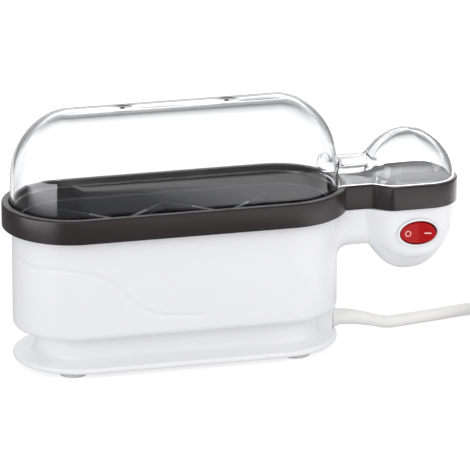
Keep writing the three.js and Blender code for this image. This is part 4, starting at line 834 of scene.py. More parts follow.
@dataclass
class Cord:
    """The mains cord: gland, free run, coil with its tie, and plug."""

    barrel_start: float = 78.2
    barrel_radius: float = 4.4
    collar_radius: float = 5.4
    collar_end: float = 94.0
    collar_edge: float = 0.4
    collar_round: float = 0.5
    taper_steps: int = 48
    tip_radius: float = 3.8
    mean_radius: float = 38.5
    layer_turns: float = 1.25
    turn_pitch: float = 7.8
    climb_turn: float = 0.5
    leave_angle: float = 15.0
    bend_radius: float = 28.0
    turn_steps: int = 48
    straight_steps: int = 8
    bend_steps: int = 16
    tie_width: float = 5.0
    tie_thickness: float = 0.7
    tie_corner: float = 3.0
    tie_bevel: float = 0.3
    plug_clearance: float = 1.5
    plug_length: float = 28.0
    plug_width: float = 34.0
    plug_height: float = 25.0
    plug_corner: float = 8.0
    plug_edge: float = 2.0
    neck_length: float = 22.0
    neck_radius: float = 4.6
    neck_slack: float = 0.4
    neck_growth: float = 0.9
    neck_ribs: int = 6
    rib_depth: float = 0.25
    shoulder_reach: float = 3.0
    pin_radius: float = 2.4
    pin_length: float = 19.0
    pin_spacing: float = 19.0
    pin_tip: float = 1.6
    free_route: list[Point] = field(default_factory=lambda: [
        (113.4, 2.3, 8.0), (116.8, 3.2, 6.8), (124.0, 5.6, 4.4), (133.0, 8.2, 3.6),
        (143.0, 10.2, 3.6), (153.0, 12.0, 3.6), (166.0, 15.0, 3.6), (180.0, 17.6, 3.6),
        (192.0, 19.2, 3.8), (203.0, 20.1, 4.3), (211.7, 20.3, 4.5), (218.7, 20.3, 4.5),
    ])

    @property
    def inward(self) -> float:
        """Turns until the spiral turns outward again."""
        return self.layer_turns + self.climb_turn / 2

    @property
    def outer_radius(self) -> float:
        """Radius of the outermost turn."""
        return self.mean_radius + self.turn_pitch * self.inward / 2

    @property
    def low(self) -> float:
        """Height of the lower layer's middle."""
        return CORD_RADIUS + self.tie_thickness + GAP

    @property
    def centre(self) -> tuple[float, float]:
        """The coil's middle on the table."""
        x, y, _ = self.free_route[-1]
        return x + GAP, y - self.outer_radius

    def coil_route(self) -> np.ndarray:
        """Places along the coil, from the free run to the plug.

        Returns:
            The points in millimetres.
        """
        turns = 2 * self.layer_turns + self.climb_turn - self.leave_angle / 360
        turn = np.linspace(0.0, turns, round(turns * self.turn_steps) + 1)
        climb = smoothstep(self.layer_turns, self.layer_turns + self.climb_turn, turn)
        drawn = np.where(turn < self.inward, turn, 2 * self.inward - turn)
        radius = self.outer_radius - self.turn_pitch * drawn
        angle = math.pi / 2 - 2 * math.pi * turn
        middle_x, middle_y = self.centre
        route = np.column_stack((
            middle_x + radius * np.cos(angle),
            middle_y + radius * np.sin(angle),
            self.low + self.turn_pitch * climb,
        ))
        return np.vstack((route, self.tail_route(route[-1])))

    def tail_route(self, start: np.ndarray) -> np.ndarray:
        """Places from the coil's last one to the plug: straight on, then round to the front.

        Args:
            start: the coil's last place.

        Returns:
            The points in millimetres.
        """
        heading = math.radians(self.leave_angle)
        axis = self.centre[0] + self.outer_radius + CORD_RADIUS + self.plug_clearance + self.plug_width / 2
        bend_x = axis - self.bend_radius
        run = (bend_x - self.bend_radius * math.sin(heading) - start[0]) / math.cos(heading)
        bend_y = start[1] + run * math.sin(heading) - self.bend_radius * math.cos(heading)
        along = np.linspace(0.0, run, self.straight_steps + 1)[1:]
        straight = np.column_stack((
            start[0] + along * math.cos(heading), start[1] + along * math.sin(heading),
            np.full(self.straight_steps, start[2]),
        ))
        share = np.linspace(0.0, 1.0, self.bend_steps + 1)[1:]
        angle = (math.pi / 2 + heading) * (1 - share)
        bend = np.column_stack((
            bend_x + self.bend_radius * np.cos(angle), bend_y + self.bend_radius * np.sin(angle),
            start[2] + (self.plug_height / 2 - start[2]) * smoothstep(0.0, 1.0, share),
        ))
        end = np.array([axis, bend_y - CORD_RADIUS, self.plug_height / 2])
        return np.vstack((straight, bend, end))

    def route(self) -> np.ndarray:
        """Places along the whole free cord.

        Returns:
            The points in millimetres.
        """
        return np.vstack((through(self.free_route), self.coil_route()[2:]))

    def build(self) -> None:
        """Makes the cord with everything on it."""
        self.gland()
        tie = self.tie()
        plug = self.plug()
        pins = [self.pin("left", -1), self.pin("right", 1)]
        path = self.route()
        curve = bpy.data.curves.new("cord", "CURVE")
        curve.dimensions = "3D"
        curve.bevel_depth = CORD_RADIUS * MM
        curve.bevel_resolution = 7
        curve.use_fill_caps = True
        line = curve.splines.new("POLY")
        line.points.add(len(path) - 1)
        for place, point in zip(path, line.points):
            point.co = (*row(place), 1.0)
        cord = linked("cord", curve)
        dress(cord, CORD_SHEATH)
        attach(cord, "cooker")
        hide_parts("cord_lead", "cord_coil")

    def gland(self) -> bpy.types.Object:
        """The strain relief: a barrel, a collar and a taper that bends with the cord.

        Returns:
            The piece.
        """
        start = np.array([self.collar_end, 0.0, CORD_Z])
        tip, after = (np.array(p) for p in self.free_route[:2])
        ahead = (after - tip) / np.linalg.norm(after - tip)
        tip = tip - ahead * GAP
        reach = np.linalg.norm(tip - start) / 3
        first, second = start + np.array([reach, 0.0, 0.0]), tip - ahead * reach
        share = np.linspace(0.0, 1.0, self.taper_steps + 1)[:, None]
        bend = ((1 - share) ** 3 * start + 3 * share * (1 - share) ** 2 * first
                + 3 * share ** 2 * (1 - share) * second + share ** 3 * tip)
        taper = self.barrel_radius + GAP + (self.tip_radius - self.barrel_radius - GAP) * share[:, 0]
        collar, edge, fall = OUTLET_END + GAP, self.collar_edge, self.collar_round
        straight = [
            (self.barrel_start, self.barrel_radius), (collar, self.barrel_radius),
            (collar + HAIR, self.collar_radius - edge), (collar + edge, self.collar_radius),
            (self.collar_end - fall, self.collar_radius),
            (self.collar_end - fall / 5, self.collar_radius - 0.6 * fall),
        ]
        path = np.vstack(([(x, 0.0, CORD_Z) for x, _ in straight], bend))
        radii = [r for _, r in straight] + list(taper)
        return add(swept("gland", path, radii), "cooker", CORD_SHEATH, "cord_gland")

    def tie(self) -> bpy.types.Object:
        """The thin band round the turns.

        Returns:
            The piece.
        """
        inner = 2 * self.mean_radius - self.outer_radius - CORD_RADIUS - 2 * GAP
        outer = self.outer_radius + CORD_RADIUS
        top = self.low + self.turn_pitch + CORD_RADIUS + GAP
        middle_x, middle_y = self.centre
        half, thick, bevel = self.tie_width / 2, self.tie_thickness, self.tie_bevel
        rings = []
        for grow, x in ((0.0, -half), (thick - bevel / 2, -half), (thick, bevel - half),
                        (thick, half - bevel), (thick - bevel / 2, half), (0.0, half)):
            near, far = middle_y - outer - grow, middle_y - inner + grow
            corner = self.tie_corner + grow
            flat = rounded([(near, thick - grow, corner), (far, thick - grow, corner),
                            (far, top + grow, corner), (near, top + grow, corner)])
            rings.append(Turn.ALONG_X.section(flat, middle_x + x))
        return add(skin("tie", rings, closed=True), "cooker", TIE_PLASTIC, "cord_tie")

    def plug_axis(self) -> Point:
        """X and height of the plug's middle line, and where its neck starts."""
        end = self.coil_route()[-1]
        return float(end[0]), self.plug_height / 2, float(end[1]) - GAP

    def plug(self) -> bpy.types.Object:
        """The plug's body with its ribbed neck.

        Returns:
            The piece.
        """
        x, z, start = self.plug_axis()
        shoulder = start - self.neck_length
        face = shoulder - self.plug_length
        half_width, half_height = self.plug_width / 2, self.plug_height / 2
        neck, reach, edge = self.neck_radius, self.shoulder_reach, self.plug_edge
        stations: list[tuple[float, float, float, float]] = []
        for share in np.linspace(0.0, 1.0, 41):
            ribs = self.rib_depth * math.cos(2 * math.pi * self.neck_ribs * share)
            swell = neck - self.neck_slack + self.neck_growth * share + ribs
            stations.append((start - share * (self.neck_length - reach), swell, swell, swell))
        for share in np.linspace(0.15, 1.0, 9):
            rise = math.sin(share * math.pi / 2)
            stations.append((
                shoulder + reach - share * (self.plug_corner + reach),
                neck + (half_width - neck) * rise,
                neck + (half_height - neck) * rise,
                neck + (self.plug_corner - neck) * rise,
            ))
        stations.append((face + edge, half_width, half_height, self.plug_corner))
        for inset, back in arc((0.0, 0.0), edge, 0.0, 90.0):
            drop = edge - inset
            stations.append((face + edge - back, half_width - drop, half_height - drop,
                             self.plug_corner - drop))
        rings = [Turn.ALONG_Y.section(box_outline(wide, high, corner), y, (x, 0.0, z))
                 for y, wide, high, corner in stations]
        return add(skin("plug", rings), "cooker", PLUG_PLASTIC, "mains_plug")

    def pin(self, name: str, side: int) -> bpy.types.Object:
        """One of the plug's two round pins.

        Args:
            name: which one it is.
            side: -1 for the left one and 1 for the right one.

        Returns:
            The piece.
        """
        x, z, start = self.plug_axis()
        face = start - self.neck_length - self.plug_length - GAP
        tip = self.pin_tip
        profile = [(self.pin_radius, 0.0), (self.pin_radius, tip - self.pin_length)]
        profile += [(r, tip - self.pin_length - d)
                    for r, d in arc((self.pin_radius - tip, 0.0), tip, 0.0, 90.0)]
        piece = turned(f"plug_pin_{name}_fine", profile, (x + side * self.pin_spacing / 2, face, z),
                       Turn.ALONG_Y, 32)
        return add(piece, "cooker", BRIGHT_STEEL, f"plug_pin_{name}")


@dataclass
class Base:
    """The base moulding with its waist and outlet, on four feet."""

    foot_height: float = 3.0
    foot_radius: float = 8.0
    foot_x: float = 64.0
    foot_y: float = 23.0
    foot_edge: float = 0.8
    foot_shoulder: float = 0.6
    foot_dish: float = 0.4
    dish_radius: float = 4.0
    dish_rim: float = 4.6
    stem_radius: float = 2.5
    stem_top: float = 4.8
    stem_edge: float = 0.3
    plate_centre: float = 55.9
    plate_radius: float = 36.6
    plate_bottom: float = 3.3
    plate_top: float = 6.5
    plate_flat: float = 10.0
    edge: float = 1.2
    waist_radius: float = 21.5
    waist_top: float = 21.4
    waist_wall: float = 2.0
    waist_edge: float = 0.5
    waist_sunk: float = 0.6
    fillet: float = 3.5
    outlet_half_width: float = 6.0
    way_radius: float = 4.7
    way_start: float = 74.0
    head_radius: float = 3.5
    head_top: float = 5.2

    def build(self) -> None:
        """Makes the base and its feet."""
        self.plate()
        for end in ("front", "rear"):
            for side in ("left", "right"):
                self.foot(end, side)

    def plate(self) -> bpy.types.Object:
        """The plate with the waist that the cord winds round.

        Returns:
            The piece.
        """
        edge, outlet_half = self.edge, self.outlet_half_width
        profile = [(self.plate_radius - self.plate_flat, self.plate_bottom)]
        profile += arc((self.plate_radius - edge, self.plate_bottom + edge), edge, -90.0, 0.0)
        profile += arc((self.plate_radius - edge, self.plate_top - edge), edge, 0.0, 90.0)
        piece = skin("base", [stadium(r, z, self.plate_centre) for r, z in profile])
        foot_of_waist = self.waist_radius + self.fillet
        rise = [(foot_of_waist + OVERRUN, self.plate_top - self.waist_sunk)]
        rise += arc((foot_of_waist, self.plate_top + self.fillet), self.fillet, 269.0, 180.0, 8)
        rise += arc((self.waist_radius - self.waist_edge, self.waist_top - self.waist_edge),
                    self.waist_edge, 0.0, 90.0)
        combine(piece, skin("waist", [stadium(r, z) for r, z in rise]), Cut.JOIN)
        outline = rounded([
            (END_CENTRE, -outlet_half, 0.0), (OUTLET_END, -outlet_half, edge),
            (OUTLET_END, outlet_half, edge), (END_CENTRE, outlet_half, 0.0),
        ], 6)
        outlet = prism("outlet", outline, (self.plate_top - OVERRUN, self.waist_top - HAIR))
        combine(piece, outlet, Cut.JOIN)
        cavity = skin("cavity", [stadium(self.waist_radius - self.waist_wall, z)
                                 for z in (self.plate_top, self.waist_top + OVERRUN)])
        combine(piece, cavity, Cut.TAKE)
        way = turned("way", [(self.way_radius, x) for x in (self.way_start, OUTLET_END + OVERRUN)],
                     (0.0, 0.0, CORD_Z), Turn.ALONG_X, 32)
        combine(piece, way, Cut.TAKE)
        for x in (-SCREW_X, SCREW_X):
            for y in (-SCREW_Y, SCREW_Y):
                self.screw_post(piece, (x, y, 0.0))
        return add(piece, "cooker", BASE_PLASTIC, "base_plate")

    def screw_post(self, piece: bpy.types.Object, place: Point) -> None:
        """Adds a post with a stepped bore for a screw and its head.

        Args:
            piece: the base, still without the post.
            place: where the post stands.
        """
        post = [(POST_RADIUS, self.plate_top - OVERRUN), (POST_RADIUS, self.waist_top)]
        combine(piece, turned("post", post, place, sides=32), Cut.JOIN)
        bore = [(self.head_radius, 2.0), (self.head_radius, self.head_top),
                (SCREW_RADIUS, self.head_top), (SCREW_RADIUS, self.waist_top + OVERRUN)]
        combine(piece, turned("bore", bore, place, sides=32), Cut.TAKE)

    def foot(self, end: str, side: str) -> bpy.types.Object:
        """One soft foot.

        Args:
            end: front or rear.
            side: left or right.

        Returns:
            The piece.
        """
        x = self.foot_x if side == "right" else -self.foot_x
        y = self.foot_y if end == "rear" else -self.foot_y
        radius, top, dish = self.foot_radius, self.foot_height, self.foot_dish
        edge, shoulder, tip = self.foot_edge, self.foot_shoulder, self.stem_edge
        profile = [(0.5, dish), (self.dish_radius, dish), (self.dish_rim, 0.0), (radius - edge, 0.0)]
        profile += arc((radius - edge, edge), edge, -60.0, 0.0)
        profile += arc((radius - shoulder, top - shoulder), shoulder, 0.0, 90.0)
        profile += [(self.stem_radius, top), (self.stem_radius, self.stem_top - tip),
                    (self.stem_radius - tip, self.stem_top)]
        name = f"foot_{end}_{side}"
        return add(turned(f"{name}_fine", profile, (x, y, 0.0)), "cooker", FOOT_RUBBER, name)


@dataclass
class Body:
    """The white shell: long body with its relief line, neck, and bulb with the switch pad."""

    bottom: float = 21.7
    top: float = 81.2
    radius: float = 33.5
    wall: float = 2.0
    edge: float = 3.5
    wave_start: float = -97.0
    wave_end: float = 16.0
    wave_fade_in: float = 6.0
    wave_fade_out: float = 14.0
    wave_high: float = 63.8
    wave_low: float = 31.8
    wave_from: float = -88.0
    wave_to: float = 12.0
    wave_middle: float = 0.51
    wave_steepness: float = 3.0
    wave_depth: float = 0.7
    wave_width: float = 0.85
    wave_margin: float = 5.0
    wave_step: float = 0.7
    neck_half_width: float = 15.0
    neck_bottom: float = 57.0
    neck_corner: float = 9.0
    neck_fillet: float = 6.0
    neck_root: float = 92.5
    neck_end: float = 40.0
    flare_from: float = 4.0
    flare_over: float = 8.0
    pod_overlap: float = 6.0
    straight_from: float = 14.0
    pod_top: float = 79.9
    bulb_x: float = 133.5
    bulb_half_length: float = 27.0
    bulb_half_width: float = 23.0
    bulb_corner: float = 18.0
    bulb_depth: float = 41.0
    bulb_start: float = 8.0
    bulb_tip: float = 0.02
    farthest: float = 60.0
    halvings: int = 32
    crease: float = 7.5
    pad_inner: float = 9.5
    pad_outer: float = 27.0
    hole_half_length: float = 12.0
    hole_half_height: float = 8.1
    hole_front: float = -30.0
    hole_back: float = -12.0
    slot_x: float = 47.0
    slot_half_length: float = 13.0
    slot_half_width: float = 5.5
    boss_top: float = 30.7
    bore_bottom: float = 20.0
    bore_top: float = 32.0
    root_margin: float = 1.5
    around: int = 72

    def build(self) -> None:
        """Makes the shell."""
        piece = self.long_body()
        combine(piece, self.pod("pod", 0.0, 0.0), Cut.JOIN)
        inner = skin("inner", [stadium(r, z) for r, z in (
            (self.radius - self.edge, self.bottom + self.wall),
            (self.radius - self.wall, self.bottom + self.edge),
            (self.radius - self.wall, self.top + OVERRUN),
        )])
        combine(piece, inner, Cut.TAKE)
        combine(piece, self.pod("pod_inner", self.wall, OVERRUN), Cut.TAKE)
        hole = turned("hole", [(self.hole_half_height, y) for y in (self.hole_front, self.hole_back)],
                      (SWITCH_X, 0.0, SWITCH_Z), Turn.ALONG_Y,
                      stretch=self.hole_half_length - self.hole_half_height)
        combine(piece, hole, Cut.TAKE)
        slot = prism("slot", box_outline(self.slot_half_length, self.slot_half_width, 1.0),
                     (self.bottom - OVERRUN, self.bottom + self.wall + OVERRUN),
                     middle=(self.slot_x, 0.0, 0.0))
        combine(piece, slot, Cut.TAKE)
        boss = [(POST_RADIUS, self.bottom + OVERRUN), (POST_RADIUS, self.boss_top)]
        bore = [(SCREW_RADIUS, self.bore_bottom), (SCREW_RADIUS, self.bore_top)]
        for x in (-SCREW_X, SCREW_X):
            for y in (-SCREW_Y, SCREW_Y):
                combine(piece, turned("boss", boss, (x, y, 0.0), sides=32), Cut.JOIN)
                combine(piece, turned("bore", bore, (x, y, 0.0), sides=24), Cut.TAKE)
        add(piece, "cooker", WHITE_PLASTIC, "body_shell")

    def wave_height(self, x: np.ndarray) -> np.ndarray:
        """Height of the relief line.

        Args:
            x: places along the front.

        Returns:
            The height at each place, in millimetres.
        """
        share = (x - self.wave_from) / (self.wave_to - self.wave_from)
        swing = np.tanh(self.wave_steepness * 2 * (share - self.wave_middle))
        return (self.wave_high + self.wave_low) / 2 - (self.wave_high - self.wave_low) / 2 * swing

    def relief(self, x: np.ndarray, z: float) -> np.ndarray:
        """Depth of the relief line below the skin.

        Args:
            x: places along the front.
            z: the height.

        Returns:
            The depth at each place, in millimetres.
        """
        slope = self.wave_height(x + 0.5) - self.wave_height(x - 0.5)
        away = (z - self.wave_height(x)) / np.sqrt(1 + slope ** 2)
        fade = smoothstep(self.wave_start, self.wave_start + self.wave_fade_in, x)
        fade = fade * (1 - smoothstep(self.wave_end - self.wave_fade_out, self.wave_end, x))
        return self.wave_depth * fade * np.exp(-((away / self.wave_width) ** 2))

    def long_body(self) -> bpy.types.Object:
        """The long body's outer solid.

        Returns:
            The piece, still solid.
        """
        edge, margin = self.edge, self.wave_margin
        levels = arc((self.radius - edge, self.bottom + edge), edge, -90.0, 0.0, 8)
        levels += [(self.radius, z)
                   for z in np.arange(self.wave_low - margin, self.wave_high + margin, self.wave_step)]
        levels += [(self.radius, self.top)]
        rings = []
        for radius, z in levels:
            ring = stadium(radius, z, side_steps=80)
            front = ring[:, 1] < 0
            depth = np.where(front, self.relief(ring[:, 0], z), 0.0)
            middle = np.clip(ring[:, 0], -END_CENTRE, END_CENTRE)
            out = np.column_stack((ring[:, 0] - middle, ring[:, 1], np.zeros(len(ring))))
            out /= np.linalg.norm(out, axis=1)[:, None]
            rings.append(ring - out * depth[:, None])
        return skin("body", rings)

    def bulb_reach(self, x: np.ndarray, down: np.ndarray, inset: float) -> np.ndarray:
        """How far the bulb's skin lies from the deck's middle line.

        Args:
            x: places along the pod.
            down: angles below the deck, from 0 at the rear to pi at the front.
            inset: how far inside the outer skin.

        Returns:
            The distance in each direction, in millimetres.
        """
        length, width = self.bulb_half_length - inset, self.bulb_half_width - inset
        corner, depth = self.bulb_corner - inset, self.bulb_depth - inset
        core_x, core_y = length - corner, width - corner
        along = np.abs(x - self.bulb_x)
        low, high = np.zeros_like(along), np.full_like(along, self.farthest)
        spread = corner ** 2 - core_x ** 2 - core_y ** 2
        for _ in range(self.halvings):
            middle = (low + high) / 2
            side, fall = np.abs(middle * np.cos(down)), middle * np.sin(down)
            lean = core_x * along + core_y * side
            rounding = (-lean + np.sqrt(lean ** 2 + spread * (along ** 2 + side ** 2))) / spread
            straight = np.where(side * core_x >= along * width, side / width, rounding)
            gauge = np.where(along * core_y >= side * length, along / length, straight)
            outside = gauge ** 2 + (fall / depth) ** 2 > 1
            high = np.where(outside, middle, high)
            low = np.where(outside, low, middle)
        return low

    def neck_reach(self, down: np.ndarray, inset: float) -> np.ndarray:
        """How far the neck's skin lies from the deck's middle line.

        Args:
            down: angles below the deck, from 0 at the rear to pi at the front.
            inset: how far inside the outer skin.

        Returns:
            The distance in each direction, in millimetres.
        """
        width = self.neck_half_width - inset
        depth = self.pod_top - self.neck_bottom - inset
        corner = self.neck_corner - inset
        c, s = np.abs(np.cos(down)), np.sin(down)
        flat = np.minimum(width / np.maximum(c, TINY), depth / np.maximum(s, TINY))
        core_y, core_z = width - corner, depth - corner
        lean = core_y * c + core_z * s
        rest = core_y ** 2 + core_z ** 2 - corner ** 2
        bent = lean + np.sqrt(np.maximum(lean ** 2 - rest, 0.0))
        in_corner = (flat * c > core_y) & (flat * s > core_z)
        return np.where(in_corner, bent, flat)

    def neck_flare(self, step: float, neck: np.ndarray, down: np.ndarray) -> np.ndarray:
        """How much wider the neck is close to the long body, where a fillet joins the two.

        Args:
            step: distance from the long body.
            neck: distance of the neck's skin from the deck's middle line.
            down: angles below the deck.

        Returns:
            What the fillet adds in each direction.
        """
        radius = self.neck_fillet
        if step >= radius:
            return np.zeros_like(neck)
        flare = radius - math.sqrt(max(radius ** 2 - (radius - max(step, 0.0)) ** 2, 0.0))
        return flare * np.clip((neck * np.sin(down) - self.flare_from) / self.flare_over, 0, 1)

    def with_bulb(self, neck: np.ndarray, x: np.ndarray, down: np.ndarray, inset: float) -> np.ndarray:
        """Joins the bulb to the neck with a soft crease, and the pad to the bulb.

        Args:
            neck: distance of the neck's skin from the deck's middle line.
            x: places along the pod.
            down: angles below the deck.
            inset: how far inside the outer skin.

        Returns:
            The distance of the joined skin.
        """
        bulb = self.bulb_reach(x, down, inset)
        near = np.maximum(self.crease - np.abs(neck - bulb), 0.0) / self.crease
        joined = np.maximum(neck, bulb) + near ** 2 * self.crease / 4
        return self.with_pad(np.where(x > self.bulb_x, bulb, joined), x, down, inset)

    def pod(self, name: str, inset: float, rise: float) -> bpy.types.Object:
        """Neck and bulb as one smooth solid under the deck.

        Args:
            name: the piece's name.
            inset: how far inside the outer skin.
            rise: how far it runs past the deck's underside.

        Returns:
            The piece.
        """
        down = np.linspace(0.0, math.pi, self.around + 1)
        end = self.bulb_x + self.bulb_half_length - inset - self.neck_root - self.bulb_tip
        steps = np.concatenate((
            [-self.pod_overlap], np.linspace(-0.1, self.neck_fillet, 14),
            np.linspace(self.neck_fillet, self.neck_end, 34)[1:],
            self.neck_end + (end - self.neck_end) * np.sin(np.linspace(0, math.pi / 2, 26)[1:]),
        ))
        base = self.neck_reach(down, inset)
        rings = []
        for step in steps:
            reach = base + self.neck_flare(step, base, down)
            side = np.minimum(np.abs(reach * np.cos(down)), self.radius - self.root_margin)
            root = END_CENTRE + np.sqrt(self.radius ** 2 - side ** 2)
            share = float(smoothstep(0.0, self.straight_from, step))
            x = (root + step) * (1 - share) + (self.neck_root + step) * share
            if step > self.bulb_start:
                reach = self.with_bulb(reach, x, down, inset)
            ring = np.column_stack((x, reach * np.cos(down), self.pod_top - reach * np.sin(down)))
            if rise > 0:
                ring = np.vstack((ring, ring[-1] + [0, 0, rise], ring[0] + [0, 0, rise]))
            rings.append(ring)
        return skin(name, rings)

    def with_pad(self, reach: np.ndarray, x: np.ndarray, down: np.ndarray, inset: float) -> np.ndarray:
        """Draws the skin to the flat pad round the switch.

        Args:
            reach: the skin's distance from the deck's middle line.
            x: places along the pod.
            down: angles below the deck.
            inset: how far inside the outer skin.

        Returns:
            The changed distance.
        """
        plane = (PAD_Y - inset) / np.maximum(-np.cos(down), 1e-3)
        z = self.pod_top - plane * np.sin(down)
        away = np.sqrt((x - SWITCH_X) ** 2 + (z - SWITCH_Z) ** 2)
        share = np.where(np.cos(down) < -0.05, 1 - smoothstep(self.pad_inner, self.pad_outer, away), 0.0)
        return reach + (plane - reach) * share


@dataclass
class Rim:
    """The dark frame round the pan, with the deck over neck and pod."""

    bottom: float = 80.2
    top: float = 93.9
    radius: float = 39.0
    skirt: float = 2.0
    bevel: float = 0.9
    foot_edge: float = 0.5
    inner_edge: float = 0.4
    mouth: float = 35.0
    ledge: float = 32.8
    ledge_z: float = 90.0
    leg_bottom: float = 83.9
    leg_wall: float = 1.6
    web: float = 1.8
    deck: float = 2.0
    neck_half_width: float = 16.0
    pod_half_width: float = 24.0
    pod_end: float = 161.5
    pod_corner: float = 19.0
    flare_start: float = 111.0
    flare_radius: float = 5.0
    # how far below the top a face may lie and still get the deck's painted sheen
    painted_sheen_margin: float = 0.05

    def outline(self, inset: float, start: float) -> np.ndarray:
        """The deck's outline.

        Args:
            inset: how far inside the outer edge.
            start: where it starts along the body.

        Returns:
            Its points in the plane.
        """
        neck, pod = self.neck_half_width - inset, self.pod_half_width - inset
        end = self.pod_end - inset
        flare = self.flare_start + inset * math.tan(math.pi / 8)
        flare_end = flare + self.pod_half_width - self.neck_half_width
        return rounded([
            (start, -neck, 0.0), (flare, -neck, self.flare_radius + inset),
            (flare_end, -pod, self.flare_radius), (end, -pod, self.pod_corner - inset),
            (end, pod, self.pod_corner - inset), (flare_end, pod, self.flare_radius),
            (flare, neck, self.flare_radius + inset), (start, neck, 0.0),
        ], 10)

    def build(self) -> None:
        """Makes the frame."""
        bevel, foot, small = self.bevel, self.foot_edge, self.inner_edge
        leg, under = self.ledge + self.leg_wall, self.ledge_z - self.web
        profile = arc((self.radius - foot, self.bottom + foot), foot, -90.0, 0.0, 3)
        profile += arc((self.radius - bevel, self.top - bevel), bevel, 0.0, 90.0)
        profile += arc((self.mouth + small, self.top - small), small, 90.0, 180.0, 3)
        profile += [(self.mouth, self.ledge_z)]
        profile += arc((self.ledge + small, self.ledge_z - small), small, 90.0, 180.0, 3)
        profile += [
            (self.ledge, self.leg_bottom), (leg, self.leg_bottom), (leg, under),
            (self.radius - self.skirt, under), (self.radius - self.skirt, self.bottom),
        ]
        ring = skin("rim", [stadium(r, z) for r, z in profile], closed=True)
        combine(ring, self.deck_box(), Cut.JOIN)
        add(ring, "cooker", DARK_PLASTIC, "rim_frame")
        deck_start = row((END_CENTRE + self.radius, 0.0, 0.0)).x
        deck_top = (self.top - self.painted_sheen_margin) * MM
        # A lighter grey on the deck's top faces is a painted sheen of reflected light.
        dress_part(ring, DECK_PAINTED_SHEEN, lambda face: face.normal.z > 0.99 and face.center.x > deck_start
                   and face.center.z > deck_top)

    def deck_box(self) -> bpy.types.Object:
        """The deck over neck and pod with its skirt, cut clear of the pan.

        Returns:
            The piece.
        """
        bevel, foot = self.bevel, self.foot_edge
        levels = [(foot - r, z) for r, z in arc((0.0, self.bottom + foot), foot, -90.0, 0.0, 3)]
        levels += [(bevel - r, z) for r, z in arc((0.0, self.top - bevel), bevel, 0.0, 90.0)]
        start = END_CENTRE + self.mouth - self.leg_wall
        deck = skin("deck", [Turn.ALONG_Z.section(self.outline(inset, start), z) for inset, z in levels])
        room = prism("room", self.outline(self.skirt, END_CENTRE + self.radius - self.skirt - GAP),
                     (self.bottom - OVERRUN, self.top - self.deck))
        combine(deck, room, Cut.TAKE)
        clear = skin("clear", [stadium(self.radius - self.skirt / 2, z)
                               for z in (self.bottom - OVERRUN, self.top + OVERRUN)])
        return combine(deck, clear, Cut.TAKE)


